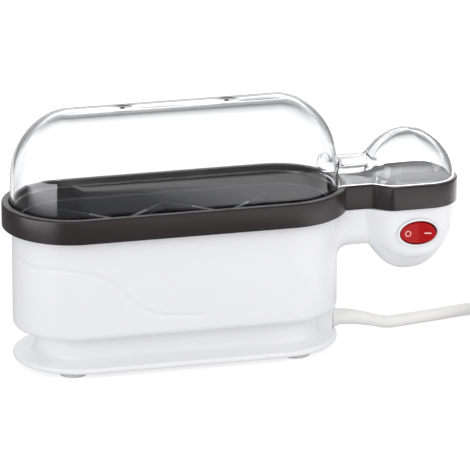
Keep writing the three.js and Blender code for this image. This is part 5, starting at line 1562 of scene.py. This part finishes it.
@dataclass
class Pan:
    """The coated pan and the carrier that hangs in it."""

    flange_radius: float = 34.0
    flange_bottom: float = 82.6
    top: float = 83.6
    radius: float = 29.9
    wall: float = 1.0
    floor_top: float = 74.0
    underside: float = 72.0
    fillet: float = 1.8
    edge: float = 0.4
    stud_x: float = 24.0
    stud_radius: float = 1.8
    stud_bottom: float = 60.0
    carrier_radius: float = 29.4
    carrier_wall: float = 1.2
    carrier_bottom: float = 76.2
    carrier_top: float = 84.9
    carrier_flange: float = 32.3
    carrier_flange_bottom: float = 83.9
    rib_width: float = 2.2
    rib_top: float = 80.0
    rib_angle: float = 43.0
    # half length of the ribs' middle stretch, whose upper faces carry the painted highlight
    rib_highlight_reach: float = 22.0
    rib_margin: float = 0.1
    rib_edge: float = 0.6
    rib_foot_edge: float = 0.3
    rib_overlap: float = 0.5
    flange_edge: float = 0.45
    flange_step: float = 0.3
    hoop_edge: float = 0.7

    def build(self) -> None:
        """Makes the pan and the carrier."""
        self.pan()
        self.carrier()

    def pan(self) -> bpy.types.Object:
        """The shallow pan with its flange and two studs.

        Returns:
            The piece.
        """
        wall, fillet, edge = self.radius + self.wall, self.fillet, self.edge
        profile = arc((wall - fillet, self.underside + fillet), fillet, -90.0, 0.0)
        profile += [(wall, self.flange_bottom), (self.flange_radius, self.flange_bottom),
                    (self.flange_radius, self.top)]
        profile += arc((self.radius + edge, self.top - edge), edge, 90.0, 180.0, 3)
        profile += arc((self.radius - fillet, self.floor_top + fillet), fillet, 0.0, -90.0)
        piece = skin("pan", [stadium(r, z) for r, z in profile])
        for x in (-self.stud_x, self.stud_x):
            stud = [(self.stud_radius, z) for z in (self.stud_bottom, self.underside + OVERRUN)]
            combine(piece, turned("stud", stud, (x, 0.0, 0.0), sides=24), Cut.JOIN)
        return add(piece, "cooker", PAN_COATING, "heating_pan")

    def carrier(self) -> bpy.types.Object:
        """The hoop with its flange and crossed ribs.

        Returns:
            The piece.
        """
        inner, outer = self.carrier_radius - self.carrier_wall, self.carrier_radius
        low, top, edge = self.carrier_bottom, self.carrier_top, self.edge
        lip, hoop = self.flange_edge, self.hoop_edge
        profile = arc((outer - edge, low + edge), edge, -90.0, 0.0, 3)
        profile += [(outer, self.carrier_flange_bottom),
                    (self.carrier_flange - self.flange_step, self.carrier_flange_bottom)]
        profile += arc((self.carrier_flange - lip, top - lip), lip, -40.0, 90.0, 4)
        profile += arc((inner + hoop, top - hoop), hoop, 90.0, 180.0, 4)
        profile += arc((inner + edge, low + edge), edge, 180.0, 270.0, 3)
        piece = skin("carrier", [stadium(r, z) for r, z in profile], closed=True)
        half, slant = self.rib_width / 2, math.radians(self.rib_angle)
        section = rounded([
            (-half, low, self.rib_foot_edge), (half, low, self.rib_foot_edge),
            (half, self.rib_top, self.rib_edge), (-half, self.rib_top, self.rib_edge),
        ], 4)
        reach = (inner + self.rib_overlap) / math.sin(slant)
        for x in (-END_CENTRE / 2, END_CENTRE / 2):
            for angle in (slant, -slant):
                bar = prism("bar", section, (-reach, -self.rib_highlight_reach, self.rib_highlight_reach, reach),
                            Turn.ALONG_X)
                spin = Matrix.Translation(row((x, 0, 0))) @ Matrix.Rotation(angle, 4, "Z")
                bar.data.transform(spin @ Matrix.Translation(-row(MIDDLE)))
                combine(piece, bar, Cut.JOIN)
        add(piece, "carrier", CARRIER_PLASTIC, "egg_carrier")
        # The upper faces of the ribs' middle stretch get a lighter grey, a painted highlight.
        half_across = self.rib_highlight_reach * math.sin(slant) * MM
        highlight_low = self.rib_top - self.rib_edge - self.rib_margin
        highlight_high = self.rib_top + self.rib_margin
        dress_part(piece, RIB_PAINTED_HIGHLIGHT, lambda face: face.normal.z > 0.3 and abs(face.center.y) < half_across
                   and highlight_low < face.center.z / MM < highlight_high)
        return piece


@dataclass
class Lid:
    """The clear lid: long dome, bridge and small dome in one moulding."""

    bottom: float = 90.3
    deck: float = 94.2
    radius: float = 34.5
    wall: float = 2.0
    shoulder_radius: float = 34.0
    shoulder_z: float = 107.0
    arc_radius: float = 41.0
    top_half_width: float = 7.0
    blend_share: float = 0.84
    flat_half_width: float = 2.5
    bridge_half_width: float = 14.5
    bridge_top: float = 105.0
    bridge_corner: float = 6.0
    bridge_flare: float = 2.0
    bridge_length: float = 16.0
    small_x: float = 134.0
    small_half_length: float = 25.7
    small_half_width: float = 22.2
    small_corner: float = 17.2
    small_height: float = 27.0
    small_power: float = 1.8
    vent_x: float = 29.7
    vent_radius: float = 1.4
    recess_radius: float = 5.6
    recess_depth: float = 0.5
    recess_edge: float = 0.4
    lip: float = 2.0
    small_seat: float = 0.02
    small_last: float = 0.9995
    steepest: float = 0.9
    bridge_overlap: float = 0.2

    def lower(self, level: float, inset: float) -> float:
        """A level on the outer skin, or past it for the inner solid, which cuts the outer one open."""
        return level - (OVERRUN if inset else 0.0)

    @property
    def arc_centre(self) -> float:
        """Distance of the dome arc's centre from the end arcs' centre."""
        return self.shoulder_radius - self.arc_radius

    @property
    def last_angle(self) -> float:
        """Angle where the dome's arc ends, in radians."""
        return math.acos((self.top_half_width - self.arc_centre) / self.arc_radius)

    @property
    def top(self) -> float:
        """Height of the flat top."""
        return self.shoulder_z + self.arc_radius * math.sin(self.last_angle)

    def long_dome(self, name: str, inset: float) -> bpy.types.Object:
        """The long dome as a solid.

        Args:
            name: the piece's name.
            inset: how far inside the outer skin.

        Returns:
            The piece.
        """
        levels = [(self.radius - inset, self.lower(self.bottom, inset)),
                  (self.radius - inset, self.bottom + self.lip)]
        radius, bend = self.arc_radius - inset, self.last_angle * self.blend_share
        levels += arc((self.arc_centre, self.shoulder_z), radius, 0.0, math.degrees(bend), 26)
        start, top = np.array(levels[-1]), self.top - inset
        corner = np.array([start[0] - (top - start[1]) * math.tan(bend), top])
        end = np.array([self.flat_half_width, top])
        for share in np.linspace(0.0, 1.0, 11)[1:]:
            place = (1 - share) ** 2 * start + 2 * share * (1 - share) * corner + share ** 2 * end
            levels.append((float(place[0]), float(place[1])))
        return skin(name, [stadium(r, z) for r, z in levels])

    def small_dome(self, name: str, inset: float) -> bpy.types.Object:
        """The small dome as a solid.

        Args:
            name: the piece's name.
            inset: how far inside the outer skin.

        Returns:
            The piece.
        """
        base = box_outline(self.small_half_length - inset, self.small_half_width - inset,
                           self.small_corner - inset, 14)
        middle = (self.small_x, 0.0, 0.0)
        rings = [Turn.ALONG_Z.section(base, self.lower(self.deck, inset), middle)]
        for share in np.linspace(0.0, 1.0, 31):
            rise = math.sin(share * math.pi / 2) * self.small_last
            z = self.deck + self.small_seat + (self.small_height - inset) * rise
            rings.append(Turn.ALONG_Z.section(base * self.small_scale(rise), z, middle))
        return skin(name, rings)

    def small_scale(self, rise: np.ndarray | float) -> np.ndarray | float:
        """Size of the small dome's section at a share of its height."""
        return (1 - rise ** self.small_power) ** (1 / self.small_power)

    def bridge(self, name: str, inset: float) -> bpy.types.Object:
        """The low bridge between the domes as a solid, flared where it meets them.

        Args:
            name: the piece's name.
            inset: how far inside the outer skin.

        Returns:
            The piece.
        """
        flare = self.bridge_flare + inset
        turn = np.radians(np.linspace(0.0, 90.0, 10))
        start, grow = flare * (1 - np.cos(turn)), flare * (1 - np.sin(turn))
        levels = [(-self.bridge_overlap, flare), *zip(start / self.bridge_length, grow)]
        levels += [(1.0 - place, wide) for place, wide in levels[::-1]]
        rings = [self.bridge_ring(place, wide, inset) for place, wide in levels]
        return skin(name, rings)

    def bridge_ring(self, place: float, wide: float, inset: float) -> Ring:
        """One section of the bridge.

        Args:
            place: share of the way from the long dome to the small one.
            wide: how much wider and higher than its middle the section is.
            inset: how far inside the outer skin.

        Returns:
            The section's points.
        """
        half, high = self.bridge_half_width - inset + wide, self.bridge_top - inset + wide
        corner, low = self.bridge_corner - inset / 2 + wide, self.lower(self.deck, inset)
        flat = rounded([(-half, low, 0.0), (half, low, 0.0), (half, high, corner), (-half, high, corner)],
                       10)
        left = END_CENTRE + np.sqrt((self.radius - inset) ** 2 - flat[:, 0] ** 2)
        rise = (flat[:, 1] - self.deck) / (self.small_height - inset)
        scale = self.small_scale(np.clip(rise, 0.0, self.steepest))
        dome_corner = self.small_corner - inset
        past = np.abs(flat[:, 0]) / scale - (self.small_half_width - inset - dome_corner)
        round_x = np.sqrt(np.maximum(dome_corner ** 2 - np.clip(past, 0.0, None) ** 2, 4.0))
        right = self.small_x - scale * (self.small_half_length - inset - dome_corner + round_x)
        return np.column_stack((left + (right - left) * place, flat))

    def solid(self, name: str, inset: float) -> bpy.types.Object:
        """Both domes and the bridge joined.

        Args:
            name: the piece's name.
            inset: how far inside the outer skin.

        Returns:
            The piece.
        """
        piece = self.long_dome(name, inset)
        combine(piece, self.bridge(name + "_bridge", inset), Cut.JOIN)
        return combine(piece, self.small_dome(name + "_small", inset), Cut.JOIN)

    def build(self) -> None:
        """Makes the lid with its two vents."""
        piece = self.solid("clear_lid", 0.0)
        combine(piece, self.solid("inside", self.wall), Cut.TAKE)
        under = self.top - self.wall
        reach = self.recess_radius + self.recess_edge
        dish = [(r, self.top - self.recess_depth * (1 - (r / self.recess_radius) ** 2) + HAIR)
                for r in np.linspace(self.recess_edge, reach, 13)]
        hole = [(self.vent_radius, under - OVERRUN), (self.vent_radius, self.top + OVERRUN)]
        for x in (-self.vent_x, self.vent_x):
            recess = turned("recess", [*dish, (reach, self.top + OVERRUN)], (x, 0.0, 0.0))
            combine(piece, recess, Cut.TAKE)
            combine(piece, turned("hole", hole, (x, 0.0, 0.0), sides=32), Cut.TAKE)
        add(piece, "lid", CLEAR_PLASTIC, "lid")


@dataclass
class Switch:
    """The oval rocker switch on the pod's pad."""

    front: float = -23.1
    back: float = -8.1
    back_wall: float = 1.2
    half_length: float = 10.8
    half_height: float = 6.9
    bezel_width: float = 1.4
    bezel_edge: float = 0.7
    mouth_edge: float = 0.35
    seat_edge: float = 0.2
    seat_bevel: float = 0.15
    tube_wall: float = 0.9
    clearance: float = 0.7
    tilt: float = 8.0
    pivot_behind: float = 2.6
    proud: float = 0.2
    depth: float = 4.0
    heel: float = 2.2
    valley: float = 1.6
    rocker_edge: float = 0.6
    face_shares: tuple[float, float] = (0.04, 0.93)
    heel_share: float = 0.2
    sides: int = 72
    mark_height: float = 0.08
    mark_sides: int = 48
    ring_radius: float = 1.75
    ring_width: float = 0.5
    dash_half_length: float = 2.0
    dash_half_height: float = 0.4
    mark_place: float = 5.6
    mark_core_share: float = 0.2
    dash_round_share: float = 0.9

    def build(self) -> None:
        """Makes the housing, the rocker and its two marks."""
        self.housing()
        self.rocker()
        self.marks()

    def housing(self) -> bpy.types.Object:
        """The bezel with its sleeve and back.

        Returns:
            The piece.
        """
        tall, tube = self.half_height, self.half_height + self.tube_wall
        face, seat = self.half_height + self.bezel_width, -PAD_Y - GAP
        edge, mouth = self.bezel_edge, self.mouth_edge
        profile = [(tube, self.back), (tube, seat), (face - self.seat_bevel, seat),
                   (face, seat - self.seat_edge)]
        profile += [(r, self.front + edge - d) for r, d in arc((face - edge, 0.0), edge, 0.0, 90.0)]
        profile += [(r, self.front + mouth - d) for r, d in arc((tall + mouth, 0.0), mouth, 90.0, 180.0, 3)]
        profile += [(tall, self.back - self.back_wall)]
        piece = turned("switch_bezel", profile, (SWITCH_X, 0.0, SWITCH_Z), Turn.ALONG_Y, self.sides,
                       stretch=self.half_length - self.half_height)
        add(piece, "cooker", WHITE_PLASTIC, "switch_housing")
        middle, inside = row((SWITCH_X, 0.0, SWITCH_Z)), (self.front + 0.5) * MM

        def in_well(face: bpy.types.MeshPolygon) -> bool:
            """Whether a face looks at the rocker from the sleeve.

            Args:
                face: the face.

            Returns:
                True if it does.
            """
            away = face.center - middle
            inward = face.normal.x * away.x + face.normal.z * away.z < 0
            return inward and abs(face.normal.y) < 0.5 and face.center.y > inside

        # The sleeve's inner wall gets the dark maroon painted shade of the gap round the rocker.
        dress_part(piece, SWITCH_WELL_PAINTED_SHADE, in_well)
        return piece

    def face(self, along: np.ndarray | float) -> np.ndarray | float:
        """Where the rocker's face lies before its pivot.

        Args:
            along: places along the rocker, from its middle.

        Returns:
            The face's place, negative towards the front, in millimetres.
        """
        half = self.half_length - self.clearance
        rise = half * math.tan(math.radians(self.tilt))
        bent = (np.sqrt(np.asarray(along) ** 2 + self.valley ** 2) - self.valley) / (half - self.valley)
        return -(self.pivot_behind + self.proud) - rise * bent * (half - self.valley) / half

    def placed(self, local: np.ndarray) -> np.ndarray:
        """Turns points of the rocker into place.

        Args:
            local: points about the pivot with the rocker level.

        Returns:
            The points in the cooker's frame.
        """
        a = -math.radians(self.tilt)
        spin = np.array([[math.cos(a), math.sin(a), 0], [-math.sin(a), math.cos(a), 0], [0, 0, 1]])
        return local @ spin + np.array([SWITCH_X, self.front + self.pivot_behind, SWITCH_Z])

    def rocker(self) -> bpy.types.Object:
        """The rocker with its dished face.

        Returns:
            The piece.
        """
        length, height = self.half_length - self.clearance, self.half_height - self.clearance
        edge, unit = self.rocker_edge, circle(self.sides)
        rings = []
        for share in np.linspace(*self.face_shares, 16):
            flat = unit * (share * length, share * height)
            rings.append(np.column_stack((flat[:, 0], self.face(flat[:, 0]), flat[:, 1])))
        for a in np.radians(np.linspace(20.0, 90.0, 5)):
            inset = edge * (1 - math.sin(a))
            flat = unit * (length - inset, height - inset)
            away = self.face(flat[:, 0]) + edge * (1 - math.cos(a))
            rings.append(np.column_stack((flat[:, 0], away, flat[:, 1])))
        back = self.depth - self.pivot_behind - self.proud
        rings.append(Turn.ALONG_Y.section(unit * (length, height), back))
        heel = unit * (self.heel_share * length, self.heel_share * height)
        rings.append(Turn.ALONG_Y.section(heel, back + self.heel))
        piece = skin("rocker", [self.placed(r) for r in rings])
        return add(piece, "rocker", RED_PLASTIC, "switch_rocker")

    def flat_mark(self, name: str, outline: np.ndarray, hole: np.ndarray | None, place: float) -> None:
        """A thin mark that lies on the rocker's face.

        Args:
            name: the piece's name.
            outline: its outline.
            hole: the outline of its hole, with as many points, or None.
            place: where its middle lies along the rocker.
        """
        rings = []
        inner = hole if hole is not None else outline * self.mark_core_share
        for flat, side in ((inner, 1), (outline, 1), (outline, -1), (inner, -1)):
            wide = flat[:, 0] + place
            rings.append(np.column_stack((wide, self.face(wide) + side * self.mark_height, flat[:, 1])))
        piece = skin(name, [self.placed(r) for r in rings], closed=hole is not None)
        add(piece, "rocker", MARK_PAINT)

    def marks(self) -> None:
        """The ring for off and the bar for on."""
        ring = circle(self.mark_sides)
        self.flat_mark("rocker_mark_off", ring * self.ring_radius,
                       ring * (self.ring_radius - self.ring_width), -self.mark_place)
        bar = box_outline(self.dash_half_length, self.dash_half_height,
                          self.dash_half_height * self.dash_round_share, 5)
        self.flat_mark("rocker_mark_on", bar, None, self.mark_place)


CARRIED: dict[Finish, tuple[str, ...]] = {
    SEAL_RUBBER: ("pan_seal",),
    BRIGHT_STEEL: (
        "heating_element", "element_pin_front", "element_pin_rear", "element_clamp", "clamp_nut_left",
        "clamp_nut_right", "cord_clamp_screw_front", "cord_clamp_screw_rear",
        *(f"base_screw_{k}" for k in (1, 2, 3, 4)),
    ),
    BLACK_PLASTIC: ("thermostat",),
    CERAMIC: ("thermal_fuse", "terminal_block"),
    BARE_BRASS: (
        "earth_tab", "contact_lever",
        *(f"block_screw_{k}" for k in (1, 2, 3)), *(f"switch_terminal_{k}" for k in (1, 2, 3)),
    ),
    LAMP_GLASS: ("switch_lamp",),
    BASE_PLASTIC: ("cord_clamp",),
    CORD_SHEATH: ("cord_tail",),
    WIRE_BROWN: ("wire_supply", "wire_switched"),
    WIRE_WHITE: ("wire_fuse_link", "wire_element"),
    WIRE_BLUE: ("wire_neutral", "wire_lamp"),
    WIRE_GREEN: ("wire_earth",),
}


def dress_carried() -> None:
    """Gives every carried-over node of the frame its finish."""
    for finish, names in CARRIED.items():
        for name in names:
            dress(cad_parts[name], finish)
            log.info("%s dressed", name)


# What mirrored and refracted rays see: pairs of a place in metres, or for the wall a share of the
# ray's direction, and the grey shown there. The words after each say which way the places run.
FLOOR_IN_MIRROR = (  # from left to right across the view
    (-0.6, 0.04), (0.03, 0.04), (0.122, 0.055), (0.14, 0.2), (0.18, 0.43), (0.35, 0.43), (0.6, 0.04),
)
HAZE_BESIDE = ((-0.08, 1.3), (-0.062, 0.0))  # across the line where the lid's haze ends on the right
HAZE_BEFORE = ((-0.19, 1.0), (-0.12, 0.5), (-0.06, 0.0))  # towards the back
HAZE_BEYOND = ((0.355, 0.12), (0.42, 1.0))  # away from the lid's left end
FLOOR_THROUGH_LID = ((0.2, 0.2), (0.28, 0.15), (0.42, 0.05))  # outward from the floor's seen middle
FRONT_THROUGH_LID = (  # from left to right, before the cooker alone
    (-0.3, 0.0), (0.02, 0.0), (0.1, 0.07), (0.2, 0.17), (0.3, 0.17), (0.42, 0.0),
)
BEFORE_COOKER = ((-0.1, 1.0), (0.0, 0.0))  # from front to back
SIDES_IN_MIRROR = ((-0.6, 0.2), (-0.25, 1.0), (0.25, 1.0), (0.6, 0.2))  # from left to right
WALL_IN_MIRROR = ((0.0, 0.19), (0.15, 0.195), (0.28, 0.315), (0.42, 0.315), (0.6, 0.05))  # upward
WALL_THROUGH_LID = ((0.0, 0.05), (0.22, 0.05), (0.27, 0.315), (0.42, 0.315), (0.6, 0.1))  # upward


@dataclass
class Studio:
    """A pale floor, a soft key light, a weak fill and a white surround, sized in metres."""

    floor_half: float = 6.0
    floor_tone: float = 0.92
    shadow_tone: float = 0.45
    floor_glow: float = 0.72
    world_strength: float = 0.79
    mirror_strength: float = 6.2
    view_right: Point = (0.9698, -0.2439, 0.0)
    seen_middle: Point = (0.02, 0.33, 0.0)
    haze_right: Point = (0.783, -0.622, 0.0)
    haze_back: Point = (0.274, 0.962, 0.0)
    left_end: Point = (-0.091, 0.0, 0.0)
    key_place: Point = (0.9, -0.65, 0.65)
    key_power: float = 3.1
    key_size: float = 0.7
    fill_place: Point = (-1.5, -1.4, 0.8)
    fill_power: float = 9.2
    fill_size: float = 1.0
    aim: Point = (0.0, 0.0, 0.07)

    def build(self) -> None:
        """Makes floor, lights and world."""
        self.floor()
        self.lamp("key", self.key_place, self.key_power, self.key_size)
        self.lamp("fill", self.fill_place, self.fill_power, self.fill_size)
        self.world()
        bpy.context.scene.view_settings.view_transform = "Standard"

    def floor(self) -> None:
        """The floor, which the camera sees as white apart from the shadow."""
        half = self.floor_half
        mesh = bpy.data.meshes.new("floor")
        corners = [(-half, -half, 0.0), (half, -half, 0.0), (half, half, 0.0), (-half, half, 0.0)]
        mesh.from_pydata(corners, [], [[0, 1, 2, 3]])
        material = bpy.data.materials.new("floor")
        shading = Shading.of(material)
        lit = shading.node("ShaderNodeBsdfDiffuse", Color=grey(self.floor_tone))
        shown = self.mirrored_floor(shading)
        shown = shading.by_ray("Is Glossy Ray", lit.outputs[0], shown)
        shown = shading.by_ray("Is Transmission Ray", shown, self.floor_through_lid(shading))
        shown = shading.by_ray("Is Camera Ray", shown, self.seen_floor(shading))
        shading.link(shown, shading.node("ShaderNodeOutputMaterial").inputs["Surface"])
        mesh.materials.append(material)
        linked("floor", mesh)

    def seen_floor(self, shading: Shading) -> bpy.types.NodeSocket:
        """What the camera sees: a glow that makes the floor white, and a weaker floor that takes shadows.

        Args:
            shading: the floor's nodes.

        Returns:
            The shader's socket.
        """
        shadowed = shading.node("ShaderNodeBsdfDiffuse", Color=grey(self.shadow_tone))
        glow = shading.node("ShaderNodeEmission", Strength=self.floor_glow)
        both = shading.node("ShaderNodeAddShader")
        shading.link(shadowed.outputs[0], both.inputs[0])
        shading.link(glow.outputs[0], both.inputs[1])
        return both.outputs[0]

    def mirrored_floor(self, shading: Shading) -> bpy.types.NodeSocket:
        """What glossy surfaces mirror: a dark floor, pale on the right, with a haze for the lid's left end.

        Args:
            shading: the floor's nodes.

        Returns:
            The shader's socket.
        """
        place = shading.node("ShaderNodeNewGeometry").outputs["Position"]
        edge = shading.along(place, self.haze_right, HAZE_BESIDE)
        back = shading.along(place, self.haze_back, HAZE_BEFORE)
        far = shading.apart(place, self.left_end, HAZE_BEYOND)
        haze = shading.blended(Blend.PRODUCT, shading.blended(Blend.PRODUCT, edge, back), far)
        tone = shading.blended(Blend.SUM, shading.along(place, self.view_right, FLOOR_IN_MIRROR), haze)
        glow = shading.node("ShaderNodeEmission", Strength=self.mirror_strength)
        shading.link(tone, glow.inputs["Color"])
        return glow.outputs[0]

    def floor_through_lid(self, shading: Shading) -> bpy.types.NodeSocket:
        """What the clear lid's edges show of the floor.

        Args:
            shading: the floor's nodes.

        Returns:
            The shader's socket.
        """
        place = shading.node("ShaderNodeNewGeometry").outputs["Position"]
        split = shading.node("ShaderNodeSeparateXYZ")
        shading.link(place, split.inputs[0])
        front = shading.blended(Blend.PRODUCT, shading.along(place, self.view_right, FRONT_THROUGH_LID),
                                shading.ramp(split.outputs["Y"], BEFORE_COOKER))
        behind = shading.apart(place, self.seen_middle, FLOOR_THROUGH_LID)
        glow = shading.node("ShaderNodeEmission", Strength=self.mirror_strength)
        shading.link(shading.blended(Blend.SUM, behind, front), glow.inputs["Color"])
        return glow.outputs[0]

    def lamp(self, name: str, place: Point, power: float, size: float) -> None:
        """A square soft light that faces the cooker.

        Args:
            name: the light's name.
            place: where it stands, in metres.
            power: its power in watts.
            size: its side in metres.
        """
        data = bpy.data.lights.new(name, "AREA")
        data.shape = "SQUARE"
        data.energy = power
        data.size = size
        lamp = linked(name, data)
        lamp.location = place
        lamp.rotation_euler = (Vector(place) - Vector(self.aim)).to_track_quat("Z", "Y").to_euler()

    def world(self) -> None:
        """White behind the cooker, soft light on it, and bands of grey in what it mirrors and bends."""
        world = bpy.data.worlds.new("studio")
        bpy.context.scene.world = world
        shading = Shading.of(world)
        place = shading.node("ShaderNodeTexCoord").outputs["Generated"]
        split = shading.node("ShaderNodeSeparateXYZ")
        shading.link(place, split.inputs[0])
        up = split.outputs["Z"]
        mirrored = shading.blended(Blend.PRODUCT, shading.ramp(up, WALL_IN_MIRROR),
                                   shading.along(place, self.view_right, SIDES_IN_MIRROR))
        through = shading.ramp(up, WALL_THROUGH_LID)
        light = shading.node("ShaderNodeBackground", Color=grey(1.0), Strength=self.world_strength)
        shown = light.outputs[0]
        for ray, tone, strength in (("Is Glossy Ray", mirrored, self.mirror_strength),
                                    ("Is Transmission Ray", through, self.mirror_strength),
                                    ("Is Camera Ray", None, 1.0)):
            these = shading.node("ShaderNodeBackground", Color=grey(1.0), Strength=strength)
            if tone is not None:
                shading.link(tone, these.inputs["Color"])
            shown = shading.by_ray(ray, shown, these.outputs[0])
        shading.link(shown, shading.node("ShaderNodeOutputWorld").inputs["Surface"])


def main() -> None:
    """Builds the view, the cord and the cooker in order."""
    logging.basicConfig(level=logging.INFO, format="%(name)s: %(message)s")
    makers: list[tuple[str, Callable[[], object]]] = [
        ("viewpoint", Viewpoint().build),
        ("cord", Cord().build),
        ("base", Base().build),
        ("body", Body().build),
        ("rim", Rim().build),
        ("pan", Pan().build),
        ("lid", Lid().build),
        ("switch", Switch().build),
        ("carried nodes", dress_carried),
        ("studio", Studio().build),
    ]
    for name, make in makers:
        make()
        log.info("%s done", name)


if __name__ == "__main__":
    main()
